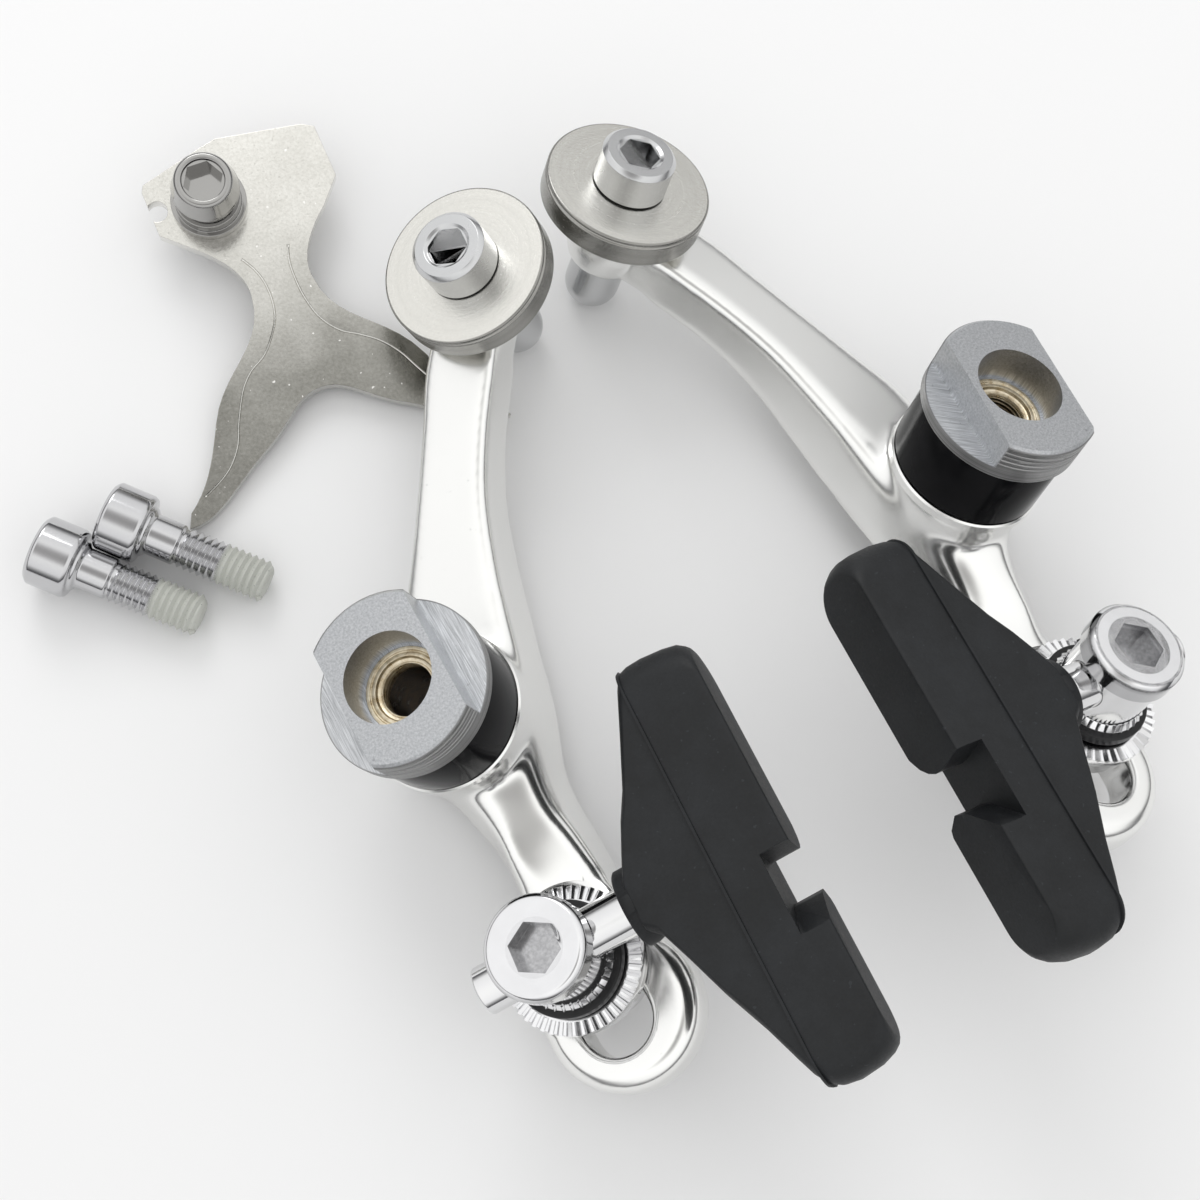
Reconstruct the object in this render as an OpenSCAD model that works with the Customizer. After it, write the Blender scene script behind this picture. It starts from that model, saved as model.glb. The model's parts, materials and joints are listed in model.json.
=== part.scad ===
// Roller cam brake: two mirrored brake arms with roller, pivot cap, pad clamp and pad,
// one cam plate with its cable clamp, and two mounting bolts, laid out on a table.
// Every arm piece is drawn in the arm's own frame: origin on the pivot axis, +Y to the
// roller, +Z to the front. The right arm is the mirror image of the left one.

/* [Layout] */
// Shift of the whole set along X, puts the origin under the middle
set_dx = -13.57; // [-60:0.1:60]
// Shift of the whole set along Y
set_dy = -69.96; // [-160:0.1:60]
// Height of each arm's pivot origin above the table
arm_z = 14.64; // [10:0.01:20]
// Sideways lean of each arm on the table
arm_lean = 22.6; // [0:0.1:40]
// Lengthwise pitch of each arm on the table
arm_pitch = -0.95; // [-5:0.05:5]
// Left pivot across the layout
left_x = -6.13; // [-30:0.01:30]
// Left pivot up the layout
left_y = 50.31; // [30:0.01:70]
// Left arm's turn in the layout
left_turn = -4.53; // [-20:0.01:20]
// Right pivot across the layout
right_x = 65.5; // [55:0.01:90]
// Right pivot up the layout
right_y = 86.13; // [70:0.01:110]
// Right arm's turn in the layout
right_turn = 54.62; // [40:0.01:70]
// Cam plate's leg tips across the layout
plate_x = -19.2; // [-40:0.1:-10]
// Cam plate's leg tips up the layout
plate_y = 88.3; // [80:0.1:120]
// Cam plate's turn in the layout
plate_turn = 22.1; // [0:0.1:40]
// First bolt's head across the layout
bolt_a_x = -62.4; // [-90:0.1:-60]
// First bolt's head up the layout
bolt_a_y = 74.1; // [50:0.1:76]
// First bolt's turn
bolt_a_turn = -21.1; // [-40:0.1:0]
// Second bolt's head across the layout
bolt_b_x = -53.4; // [-56:0.1:-50]
// Second bolt's head up the layout
bolt_b_y = 79.2; // [78:0.1:90]
// Second bolt's turn
bolt_b_turn = -21.4; // [-30:0.1:-10]

/* [Arm] */
// Distance from the pivot axis to the roller axis
arm_len = 60; // [45:0.5:80]
// Width of the leg half way along
leg_w = 10; // [7:0.1:14]
// Radius of the round roller end
tip_r = 8; // [6:0.1:10]
// Height of the roller seat above the pivot origin plane
seat_z = 4.4; // [3:0.1:6]
// Height of the arm's back at the roller end
tip_back_z = -5.5; // [-8:0.1:-4]
// Radius of the pivot boss
boss_r = 10.4; // [9:0.1:12]
// Depth of the pivot boss behind its rim
boss_h = 11.5; // [9:0.1:14]
// How far the boss rim stands out past the boss
rim_lip = 0.6; // [0.2:0.1:1]
// Radius of the bore the bush runs in
bush_bore_r = 5.65; // [5:0.05:7]

/* [Pad loop] */
// Radius of the loop's outer end
loop_r = 10.6; // [9:0.1:12]
// Half width of the slot
slot_r = 4.8; // [4:0.1:6]
// Front face of the loop
loop_front_z = -10.6; // [-12:0.1:-9]
// Thickness of the loop
loop_t = 7; // [5:0.1:9]
// Eye axis to the side of the pivot axis
eye_x = 19; // [15:0.1:24]
// Eye axis below the pivot axis
eye_y = -31; // [-36:0.1:-26]

/* [Roller] */
// Roller radius
roller_r = 11.7; // [9:0.1:14]
// Roller thickness
roller_t = 4.3; // [3:0.1:6]
// Radius of the shoulder the roller runs on
shoulder_r = 4; // [3.5:0.05:5]
// Roller bolt head radius
rbolt_head_r = 5.2; // [4:0.1:6]
// Roller bolt head height
rbolt_head_h = 5.4; // [4:0.1:7]
// Domed nut radius
dome_r = 4; // [3.5:0.1:5]
// Straight length of the domed nut
dome_h = 5; // [3:0.1:7]

/* [Pivot] */
// Length of the black spring cover
cover_h = 10.8; // [8:0.1:14]
// Outer radius of the spring cover
cover_r = 10.8; // [9:0.1:12]
// Wall of the spring cover
cover_t = 1.2; // [0.8:0.1:2]
// Pivot cap radius
cap_r = 11.5; // [10:0.1:13]
// Pivot cap thickness
cap_h = 6.1; // [4:0.1:8]
// Counterbore radius in the cap
cap_bore_r = 6; // [5.8:0.1:6.4]
// Across flats of the cap
cap_flats = 14; // [13.6:0.1:16]
// Height of the round rim left below the flats
cap_rim_h = 1.5; // [1:0.1:2.5]
// Inner radius of the bush, runs on the frame stud
stud_r = 4.05; // [3.5:0.05:5]
// Radius of the mounting bolt hole in the bush's front wall
bolt_hole_r = 3.5; // [3.1:0.1:4]
// Spring wire radius
wire_r = 0.9; // [0.5:0.05:1.2]
// Spring coil radius, wire centre
coil_r = 7.7; // [7:0.1:8.2]
// Number of spring turns
coil_n = 3; // [2:0.5:4]

/* [Pad clamp] */
// Seat washer radius
seat_r = 8.8; // [7:0.1:10]
// Seat washer thickness
seat_t = 3.3; // [2:0.1:4]
// Serrated ring outer radius
ring_r = 9.5; // [8:0.1:11]
// Serrated ring thickness
ring_t = 2.1; // [1.5:0.1:3]
// Rubber ring radius
rubber_r = 7.4; // [6.5:0.1:8]
// Rubber ring thickness
rubber_t = 1.6; // [1:0.1:2.5]
// Small toothed washer radius
tooth_r = 6.3; // [5:0.1:7]
// Small toothed washer thickness
tooth_t = 1.3; // [0.8:0.1:2]
// Number of teeth on the serrated ring
ring_teeth = 56; // [36:2:72]
// Radius of the clamp sleeve
sleeve_r = 6; // [5.5:0.1:7]
// Length of the clamp sleeve
sleeve_h = 7; // [6.8:0.1:9]
// Eye bolt head radius
eye_head_r = 6.6; // [6:0.1:8]
// Eye bolt head height
eye_head_h = 3.2; // [2.5:0.1:5]
// Eye bolt shank radius
eye_shank_r = 2.95; // [2.5:0.05:3.5]
// Eye nut radius
eye_nut_r = 5.5; // [5:0.1:6.5]
// Eye nut height
eye_nut_h = 4; // [3:0.1:4.4]

/* [Pad] */
// Pad post radius
post_r = 3.15; // [2.5:0.05:3.4]
// Post length behind the eye axis
post_back = 10; // [7:0.5:14]
// Pad length
pad_len = 57.1; // [45:0.1:70]
// Pad height
pad_h = 10.2; // [8:0.1:13]
// Pad depth from the post boss to the friction face
pad_d = 20.6; // [16:0.1:25]
// Depth from the post boss to the pad's parting line
pad_split = 11; // [9:0.1:13]
// Step at the parting line
pad_step = 0.3; // [0.1:0.05:0.8]
// Corner radius of the pad's ends
pad_round = 3.8; // [1:0.1:4.8]
// Depth of the notch in the friction face
pad_notch_d = 3.9; // [2:0.1:6]
// Left pad turned from straight sideways
pad_turn_left = 30.6; // [20:0.1:40]
// Left pad tilt about its post
pad_tilt_left = 5.4; // [-20:0.1:20]
// Left pad distance from the eye axis
pad_gap_left = 12.5; // [11:0.1:20]
// Right pad turned from straight sideways
pad_turn_right = 28.9; // [20:0.1:40]
// Right pad tilt about its post
pad_tilt_right = 5; // [-20:0.1:20]
// Right pad distance from the eye axis
pad_gap_right = 11.3; // [11:0.1:20]

/* [Cam plate] */
// Cam plate thickness
plate_t = 2; // [1.5:0.1:3]
// Length of the cam plate from the leg tips to the top of the head
plate_len = 51.5; // [40:0.1:65]
// Half the distance between the leg tips
plate_half = 24.6; // [18:0.1:32]
// Half width of the neck
neck_half = 4.6; // [3.5:0.1:7]
// Cable clamp bolt head radius at its base
clamp_r = 4.9; // [4:0.1:6]
// Cable clamp bolt head height
clamp_h = 6.6; // [5:0.1:9]
// Cable clamp nut height under the plate
clamp_nut_h = 5; // [4:0.1:6]

/* [Mounting bolts] */
// Mounting bolt thread radius
bolt_r = 2.95; // [2.5:0.05:4]
// Mounting bolt head radius
bolt_head_r = 5; // [4:0.1:7]
// Mounting bolt head height
bolt_head_h = 6; // [4:0.1:8]
// Mounting bolt length under the head
bolt_len = 18.4; // [14:0.1:30]

/* [Hidden] */
$fn = 64;
fit = 0.05;
run_gap = 0.1;
leg_s = leg_w / 10;
len_s = arm_len / 60;
reach = arm_len - 60;
right_dx = reach * (sin(right_turn) - sin(left_turn));
right_dy = reach * (cos(left_turn) - cos(right_turn));
land_up = 2.1;
roller_z = seat_z + 0.3;
roller_top = roller_z + roller_t;
shoulder_top = roller_top + 0.3;
cover_z = 0.4;
cap_z = cover_z + cover_h - 0.4;
cap_top = cap_z + cap_h;
bush_top = cap_z + 0.5;
bush_r = bush_bore_r - fit;
loop_back_z = loop_front_z - loop_t;
seat_z0 = loop_front_z + run_gap;
ring_z0 = seat_z0 + seat_t;
rubber_z0 = ring_z0 + ring_t + run_gap;
tooth_z0 = rubber_z0 + rubber_t;
sleeve_z0 = tooth_z0 + tooth_t;
post_z = sleeve_z0 + sleeve_h / 2;
head_z0 = sleeve_z0 + sleeve_h;
core_r = sleeve_r - 1.5;
eye_hole_r = post_r + fit;
slot_dir = [0.588, -0.809];
slot_up = 6.4;
slot_down = 8;
plate_s = plate_len / 51.5;
coil_z0 = 1.6;
coil_a = 120;
coil_turn = coil_n * 360 - 90;
leg_a = coil_a + coil_turn + 20;
swing_back = 40;
swing_on = 50;
clamp_y = plate_len - 8.2;
nut_corner = 5.6;
plate_tilt = atan(clamp_nut_h / (clamp_y - nut_corner + 0.2));
bolt_tilt = atan((bolt_head_r - bolt_r) / (bolt_len - 0.6));
bolt_z = bolt_head_r * cos(bolt_tilt) + bolt_head_h * sin(bolt_tilt);
coil_pitch = (cap_z - cover_t - 2 * wire_r - coil_z0 - 0.6) / coil_n;

// Frames

module at_left()
  translate([set_dx + left_x, set_dy + left_y, arm_z])
    rotate([arm_pitch, -arm_lean, left_turn])
      children();

module at_right()
  translate([set_dx + right_x + right_dx, set_dy + right_y + right_dy, arm_z])
    rotate([arm_pitch, arm_lean, right_turn])
      mirror([1, 0, 0])
        children();

module at_eye()
  translate([eye_x, eye_y, 0])
    children();

module at_post(turn, tilt)
  translate([eye_x, eye_y, post_z])
    rotate([0, 0, turn])
      rotate([tilt, 0, 0])
        children();

module at_plate()
  translate([set_dx + plate_x, set_dy + plate_y, plate_t + 0.14])
    rotate([plate_tilt, 0, plate_turn])
      translate([-0.95, 0, 0])
        children();

// Shared shapes

// Smooth curve value between stations b and c
function spline(a, b, c, d, t) =
  0.5 * (2 * b + (c - a) * t + (2 * a - 5 * b + 4 * c - d) * t * t
  + (3 * b - a - 3 * c + d) * t * t * t);

// Point on a cubic curve with four control points
function bez(p, t) = pow(1 - t, 3) * p[0] + 3 * pow(1 - t, 2) * t * p[1]
  + 3 * (1 - t) * t * t * p[2] + t * t * t * p[3];

function bez_run(p, n) = [for (i = [0 : n - 1]) bez(p, i / n)];

// Ring of points round four corners, each corner rounded by fraction k
function round_ring(c, k) = [for (i = [0 : 3], j = [0 : 2])
  let (a = c[(i + 3) % 4], b = c[i], d = c[(i + 1) % 4],
       s = b + (a - b) * k, e = b + (d - b) * k, m = (s + e) / 4 + b / 2)
  j == 0 ? s : j == 1 ? m : e];

// Solid through stations of four corners each
module loft(st, sub, k) {
  n = len(st);
  rings = [for (i = [0 : n - 2], j = [0 : (i == n - 2 ? sub : sub - 1)])
    let (a = st[max(i - 1, 0)], b = st[i], c = st[i + 1], d = st[min(i + 2, n - 1)])
    round_ring([for (q = [0 : 3]) spline(a[q], b[q], c[q], d[q], j / sub)], k)];
  m = len(rings);
  w = len(rings[0]);
  pts = [for (r = rings) each r];
  sides = [for (i = [0 : m - 2], j = [0 : w - 1])
    let (p = i * w + j, q = i * w + (j + 1) % w)
    each [[p, q, p + w], [q, q + w, p + w]]];
  caps = [for (j = [1 : w - 2])
    each [[0, j + 1, j], [(m - 1) * w, (m - 1) * w + j, (m - 1) * w + j + 1]]];
  polyhedron(pts, concat(sides, caps));
}

// Ring between two radii
module tube(r, ri, h)
  difference() {
    cylinder(r = r, h = h);
    translate([0, 0, -1]) cylinder(r = ri, h = h + 2);
  }

// Disc with a chamfered top edge
module chamfer_disc(r, h, c)
  rotate_extrude()
    polygon([[0, 0], [r, 0], [r, h - c], [r - c, h], [0, h]]);

// Hexagon socket cut, flats a across
module hex_cut(a, h)
  cylinder(r = a / sqrt(3), h = h, $fn = 6);

// Arm

leg_st = [
  [[-7.6, 62, 3.4], [3.4, 62, 3.6], [4, 62, tip_back_z], [-7.4, 62, tip_back_z]],
  [[-7.7, 49, 1.6], [2.8, 49, 2.4], [3.4, 49, -5.5], [-7.2, 49, -5.5]],
  [[-7.7, 40, 0.3], [2, 40, 0.4], [2.6, 40, -6.6], [-7.2, 40, -6.4]],
  [[-8, 31, -0.6], [2.1, 31, -1.5], [2.8, 31, -9.5], [-7.4, 31, -9]],
  [[-8.7, 22, -3], [3.9, 22, -2.7], [4.8, 22, -12], [-8, 22, -10.8]],
  [[-9, 13, -3.8], [6.6, 13, -1.9], [7.8, 13, -13.6], [-8.6, 13, -10.6]],
  [[-7, 4, -4], [9.4, 5, -2.6], [10.8, 4.5, -14.2], [-7, 4, -10.8]],
  [[-5.5, -6, -4.2], [10.2, -1.5, -4.6], [12.4, -1.5, -15.6], [-6, -6.5, -11]],
  [[3, -12.3, -4.8], [11, -6.4, -7], [13.6, -5.7, -16.4], [-1, -12.6, -12]],
  [[7.3, -16.2, -6.3], [12.8, -10.5, -9.2], [15.8, -9.6, -17], [3.8, -16.8, -13.8]],
  [[8.7, -19.9, -8], [15.7, -13.9, -10], [18.2, -13, -17.3], [6.6, -20.5, -15.4]],
  [[9.8, -23.2, -9.6], [20.6, -19.6, -10.6], [22, -19.2, -17.6], [8.6, -24, -17]],
  [[13, -31, -10.6], [26.5, -27, -10.6], [26.5, -27, -17.6], [12.6, -31, -17.6]]];

function leg_pt(p) = p[1] > 0
  ? [p[0] * leg_s, p[1] * len_s, p[2]]
  : [p[0] * eye_x / 19, p[1] * eye_y / -31, p[2]];

module loop_outline() {
  translate([eye_x + 4.8, eye_y - 5]) circle(r = loop_r);
  polygon([[eye_x - 9, eye_y + 8], [eye_x + 2, eye_y + 11.5], [eye_x + 7.4, eye_y + 5.8],
    [eye_x + 12.4, eye_y + 1.2], [eye_x + 4.8, eye_y - 5], [eye_x - 4.6, eye_y - 9.6],
    [eye_x - 7.4, eye_y - 4], [eye_x - 9.4, eye_y + 2]]);
}

module slot_cut(r)
  at_eye()
    rotate([0, 0, atan2(slot_dir[1], slot_dir[0])]) {
      translate([-slot_up, 0, -40]) cylinder(r = r, h = 60);
      translate([slot_down, 0, -40]) cylinder(r = r, h = 60);
      translate([-slot_up, -r, -40]) cube([slot_up + slot_down, 2 * r, 60]);
    }

module arm()
  difference() {
    union() {
      loft([for (s = leg_st) [for (p = s) leg_pt(p)]], 4, 0.17);
      translate([0, arm_len, tip_back_z]) cylinder(r = tip_r, h = seat_z - 0.7 - tip_back_z);
      translate([0, arm_len, tip_back_z]) cylinder(r = shoulder_r + 1.8, h = seat_z - tip_back_z);
      translate([0, 0, -boss_h]) cylinder(r = boss_r, h = boss_h);
      translate([0, 0, -1.4]) cylinder(r = boss_r + rim_lip, h = 1.4);
      translate([0, 0, loop_back_z]) linear_extrude(loop_t) loop_outline();
    }
    translate([0, 0, -30]) cylinder(r = bush_bore_r, h = 60);
    translate([0, 0, -30]) cylinder(r = boss_r + 12, h = 30 - boss_h - 7);
    translate([0, arm_len, -30]) cylinder(r = 3, h = 60);
    slot_cut(slot_r);
    seat_land(seat_r + 0.25);
    spring_slot();
  }

// Flat land the seat washer slides on
module seat_land(r)
  at_eye()
    rotate([0, 0, atan2(slot_dir[1], slot_dir[0])])
      translate([0, 0, loop_front_z + run_gap / 2]) {
        translate([-land_up, 0, 0]) cylinder(r = r, h = 30);
        translate([-land_up, -r, 0]) cube([land_up + slot_down, 2 * r, 30]);
      }

// Arc the spring's rear leg moves in, cut in the boss face
module spring_slot()
  translate([0, 0, -3.2])
    rotate([0, 0, leg_a - swing_back])
      rotate_extrude(angle = swing_back + swing_on)
        translate([coil_r - wire_r - 0.15, 0])
          square([2 * wire_r + 0.3, 4]);

// Roller end

module roller()
  translate([0, arm_len, roller_z])
    difference() {
      rotate_extrude()
        polygon([[shoulder_r + fit, 0], [roller_r - 0.3, 0], [roller_r, 0.3],
          [roller_r, roller_t - 1], [roller_r - 0.3, roller_t - 0.85],
          [roller_r - 0.3, roller_t - 0.6], [roller_r, roller_t - 0.45],
          [roller_r, roller_t - 0.2], [roller_r - 0.2, roller_t], [shoulder_r + fit, roller_t]]);
    }

module roller_bolt()
  translate([0, arm_len, 0])
    difference() {
      union() {
        translate([0, 0, shoulder_top]) chamfer_disc(rbolt_head_r, rbolt_head_h, 0.6);
        translate([0, 0, seat_z]) cylinder(r = shoulder_r, h = shoulder_top - seat_z);
        translate([0, 0, tip_back_z - 4]) cylinder(r = 3, h = seat_z - tip_back_z + 4);
      }
      translate([0, 0, shoulder_top + rbolt_head_h - 3.4]) hex_cut(5, 4);
      translate([0, 0, shoulder_top + rbolt_head_h - 0.3])
        cylinder(r1 = 2.9, r2 = 3.3, h = 0.31);
    }

module roller_nut()
  translate([0, arm_len, tip_back_z - dome_h])
    difference() {
      union() {
        cylinder(r = dome_r, h = dome_h);
        sphere(r = dome_r);
      }
      translate([0, 0, dome_h - 4]) cylinder(r = 3, h = 5);
    }

// Pivot

module pivot_cap()
  translate([0, 0, cap_z])
    difference() {
      chamfer_disc(cap_r, cap_h, 0.5);
      translate([0, 0, 0.5]) cylinder(r = cap_bore_r, h = cap_h);
      translate([0, 0, -1]) cylinder(r = bush_r, h = 3);
      for (s = [0, 180])
        rotate([0, 0, 35 + s])
          translate([cap_flats / 2, -20, cap_rim_h]) cube([20, 40, 20]);
      rotate([0, 0, coil_a]) translate([coil_r, 0, -1]) cylinder(r = wire_r + fit, h = 2.5, $fn = 24);
    }

module pivot_bush()
  difference() {
    translate([0, 0, -boss_h]) cylinder(r = bush_r, h = bush_top + boss_h);
    translate([0, 0, -boss_h - 1]) cylinder(r = stud_r, h = boss_h + bush_top - 2);
    translate([0, 0, 0]) cylinder(r = bolt_hole_r, h = bush_top + 1);
  }

module spring_cover()
  difference() {
    translate([0, 0, cover_z]) cylinder(r = cover_r, h = cap_z - cover_z);
    translate([0, 0, cover_z - 1]) cylinder(r = cover_r - cover_t, h = cap_z - cover_z + 1 - cover_t);
    translate([0, 0, cover_z]) cylinder(r = bush_r + 0.4, h = cap_z);
    rotate([0, 0, coil_a]) translate([coil_r, 0, cap_z - 3]) cylinder(r = wire_r + 0.2, h = 5, $fn = 24);
  }

// Torsion spring: coil with one leg up into the cap and one down into the arm
module spring() {
  w = 10;
  per = 16;
  turns = coil_turn;
  steps = floor(coil_n * per);
  path = concat(
    [[coil_r * cos(coil_a), coil_r * sin(coil_a), cap_z + 1.3]],
    [[coil_r * cos(coil_a), coil_r * sin(coil_a), cap_z - cover_t + 0.2]],
    [for (i = [0 : steps]) let (a = coil_a + turns * i / steps + 10)
      [coil_r * cos(a), coil_r * sin(a), cap_z - cover_t - wire_r - 0.5 - coil_pitch * coil_n * i / steps]],
    [[coil_r * cos(leg_a), coil_r * sin(leg_a), coil_z0 - 1.4],
     [coil_r * cos(leg_a), coil_r * sin(leg_a), -2.8]]);
  sweep(path, wire_r, w);
}

// Round wire along a path
module sweep(path, r, w) {
  n = len(path);
  function way(i) = let (d = path[min(i + 1, n - 1)] - path[max(i - 1, 0)]) d / norm(d);
  pts = [for (i = [0 : n - 1])
    let (t = way(i), out = [path[i][0], path[i][1], 0] / norm([path[i][0], path[i][1]]),
         s = cross(t, out) / norm(cross(t, out)), o = cross(s, t))
    each [for (j = [0 : w - 1]) path[i] + r * (cos(360 * j / w) * o + sin(360 * j / w) * s)]];
  sides = [for (i = [0 : n - 2], j = [0 : w - 1])
    let (p = i * w + j, q = i * w + (j + 1) % w)
    each [[p, q, p + w], [q, q + w, p + w]]];
  caps = [for (j = [1 : w - 2])
    each [[0, j + 1, j], [(n - 1) * w, (n - 1) * w + j, (n - 1) * w + j + 1]]];
  polyhedron(pts, concat(sides, caps));
}

// Pad clamp

module seat_washer()
  at_eye() translate([0, 0, seat_z0])
    rotate_extrude()
      polygon([[eye_shank_r + 0.25, 0], [seat_r - 0.6, 0], [seat_r, 0.6],
        [seat_r, seat_t - 0.2], [seat_r - 0.2, seat_t], [eye_shank_r + 0.25, seat_t]]);

module serrated_ring()
  at_eye() translate([0, 0, ring_z0])
    difference() {
      tube(ring_r, eye_shank_r + 0.25, ring_t);
      for (i = [0 : ring_teeth - 1])
        rotate([0, 0, 360 * i / ring_teeth])
          translate([rubber_r + 0.1, 0, ring_t])
            rotate([45, 0, 0])
              translate([0, -0.24, -0.24]) cube([4, 0.48, 0.48]);
    }

module rubber_ring()
  at_eye() translate([0, 0, rubber_z0]) tube(rubber_r, eye_shank_r + 0.25, rubber_t);

module toothed_washer()
  at_eye() translate([0, 0, tooth_z0])
    rotate_extrude()
      polygon([[eye_shank_r + 0.25, 0], [tooth_r + 0.4, 0], [tooth_r + 0.4, 0.3],
        [tooth_r - 0.2, tooth_t], [eye_shank_r + 0.25, tooth_t]]);

module eye_bolt(turn)
  difference() {
    at_eye() {
      translate([0, 0, head_z0]) chamfer_disc(eye_head_r, eye_head_h, 0.6);
      translate([0, 0, sleeve_z0]) cylinder(r = core_r, h = sleeve_h);
      translate([0, 0, loop_back_z - 4]) cylinder(r = eye_shank_r, h = sleeve_z0 - loop_back_z + 4);
    }
    at_eye() translate([0, 0, head_z0 + eye_head_h - 3]) hex_cut(6, 4);
    at_post(turn, 0) rotate([0, 90, 0]) translate([0, 0, -20]) cylinder(r = eye_hole_r, h = 40);
  }

module clamp_sleeve(turn)
  difference() {
    at_eye() translate([0, 0, sleeve_z0]) tube(sleeve_r, core_r + fit, sleeve_h);
    at_post(turn, 0) rotate([0, 90, 0]) translate([0, 0, -20]) cylinder(r = eye_hole_r, h = 40);
  }

module eye_nut()
  at_eye() translate([0, 0, loop_back_z - run_gap - eye_nut_h])
    difference() {
      cylinder(r = eye_nut_r, h = eye_nut_h);
      translate([0, 0, -1]) cylinder(r = eye_shank_r + fit, h = eye_nut_h + 2);
    }

module pad_post(turn, gap)
  at_post(turn, 0) rotate([0, 90, 0])
    translate([0, 0, -post_back]) cylinder(r = post_r, h = post_back + gap + 8);

// Pad seen from its front edge: depth from the boss face, length along the pad
module pad_profile() {
  l = pad_len / 57.1;
  d = pad_d / 20.6;
  polygon([for (p = [[11.6, 26], [8, 18.9], [5.3, 12.7], [2.1, 7.1], [0.2, 2.2],
    [0.2, -3.4], [1.8, -5.2], [4.4, -12.4], [7.8, -20.6], [9.8, -26.6], [11.8, -29.4],
    [14.2, -30.2], [19, -29.4], [20.6, -27.8], [20.6, 24.4], [18.8, 26.1], [14, 26.6]])
    [p[0] * d, p[1] * l]]);
}

// Pad seen from its friction face, with round ends
module pad_front() {
  l = pad_len / 57.1;
  low = -30.2 * l + pad_round;
  high = 26.6 * l - pad_round;
  half = pad_h / 2 - pad_round;
  translate([low, -pad_h / 2]) square([high - low, pad_h]);
  translate([low - pad_round, -half]) square([high - low + 2 * pad_round, 2 * half]);
  for (x = [low, high], y = [-half, half])
    translate([x, y]) circle(r = pad_round);
}

// Pad seen from its end: thinner behind the parting line
module pad_end() {
  h = pad_h / 2;
  back = [[-4, 0.7], [0, 0.6], [pad_split, pad_step], [pad_split + 0.3, 0], [pad_d + 4, 0]];
  polygon(concat([for (p = back) [p[0], h - p[1]]],
    [for (i = [4 : -1 : 0]) [back[i][0], back[i][1] - h]]));
}

// Notch through the friction face, wide at the front edge and narrow behind
module pad_notch() {
  l = pad_len / 57.1;
  h = pad_h / 2 + 1;
  translate([pad_d - pad_notch_d, 0, 0])
    rotate([90, 0, 90])
      linear_extrude(pad_notch_d + 5)
        polygon([[-2.3 * l, h], [-4.2 * l, -h], [-7 * l, -h], [-13.6 * l, h]]);
}

module pad(turn, tilt, gap)
  at_post(turn, tilt) translate([gap, 0, 0])
    difference() {
      union() {
        intersection() {
          translate([0, 0, -pad_h / 2]) linear_extrude(pad_h) pad_profile();
          translate([-2, 0, 0]) rotate([90, 0, 90]) linear_extrude(pad_d + 4) pad_front();
          translate([0, pad_len, 0]) rotate([90, 0, 0]) linear_extrude(2 * pad_len) pad_end();
        }
        rotate([0, 90, 0]) translate([0, 0, -1.2]) cylinder(r = post_r + 1.1, h = 4);
      }
      rotate([0, 90, 0]) translate([0, 0, -3]) cylinder(r = post_r, h = 11);
      pad_notch();
    }

// Cam plate

// Edge of the right half, from the head down the neck and leg to the crotch
function plate_edge(n) = let (s = plate_s, w = plate_half, k = neck_half)
  concat(
    bez_run([[k + 5.2, 37.6 * s], [k + 1.4, 34.4 * s], [k - 0.4, 31 * s], [k, 28.4 * s]], n),
    bez_run([[k, 28.4 * s], [k + 0.6, 20.6 * s], [w - 12.2, 19.6 * s], [w - 8.9, 12.4 * s]], n),
    bez_run([[w - 8.9, 12.4 * s], [w - 6.6, 7.6 * s], [w - 4.6, 3.4 * s], [w, 0.6 * s]], n),
    bez_run([[w - 0.4, -0.6 * s], [w - 5, -0.9 * s], [w - 8.4, 3.2 * s], [w - 14, 6.3 * s]], n),
    bez_run([[w - 14, 6.3 * s], [w - 19.2, 9.2 * s], [4, 12.4 * s], [0, 12.5 * s]], n));

module plate_outline() {
  edge = plate_edge(10);
  other = [for (i = [len(edge) - 1 : -1 : 0]) [-edge[i][0], edge[i][1]]];
  head = [[-13.8, plate_len - 10.4], [-14, plate_len - 3.5], [-13.5, plate_len - 2.5],
    [-4, plate_len + 0.2], [-1.4, plate_len + 0.8], [11, plate_len - 1.1],
    [12.7, plate_len - 2], [13.1, plate_len - 10]];
  difference() {
    polygon(concat(edge, [[0, 12.5 * plate_s]], other, head));
    translate([-12.9, plate_len - 6.9]) circle(r = 1.5);
    translate([-17, plate_len - 7.8]) square([4.2, 1.8]);
  }
}

module cam_plate()
  at_plate()
    difference() {
      translate([0, 0, -plate_t]) linear_extrude(plate_t) plate_outline();
      translate([-5.5, clamp_y, -5]) cylinder(r = 3, h = 10);
    }

module at_clamp()
  at_plate() translate([-5.5, clamp_y, 0]) children();

module cable_clamp_bolt()
  at_clamp()
    difference() {
      union() {
        translate([0, 0, 3.2]) rotate_extrude()
          polygon([[0, 0], [clamp_r, 0], [clamp_r, 1], [clamp_r - 1.3, clamp_h - 0.4],
            [clamp_r - 1.7, clamp_h], [0, clamp_h]]);
        translate([0, 0, -plate_t - clamp_nut_h + 0.4]) cylinder(r = 3, h = 4 + plate_t + clamp_nut_h);
      }
      translate([0, 0, 3.2 + clamp_h - 3]) hex_cut(5, 4);
    }

module cable_clamp_washers()
  at_clamp() {
    tube(clamp_r + 0.5, 3, 1.4);
    translate([0, 0, 1.4]) tube(clamp_r - 0.2, 3, 1.8);
  }

module cable_clamp_nut()
  at_clamp() translate([0, 0, -plate_t - clamp_nut_h])
    difference() {
      cylinder(r = nut_corner, h = clamp_nut_h, $fn = 6);
      translate([0, 0, -1]) cylinder(r = 3, h = clamp_nut_h + 2);
    }

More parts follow.
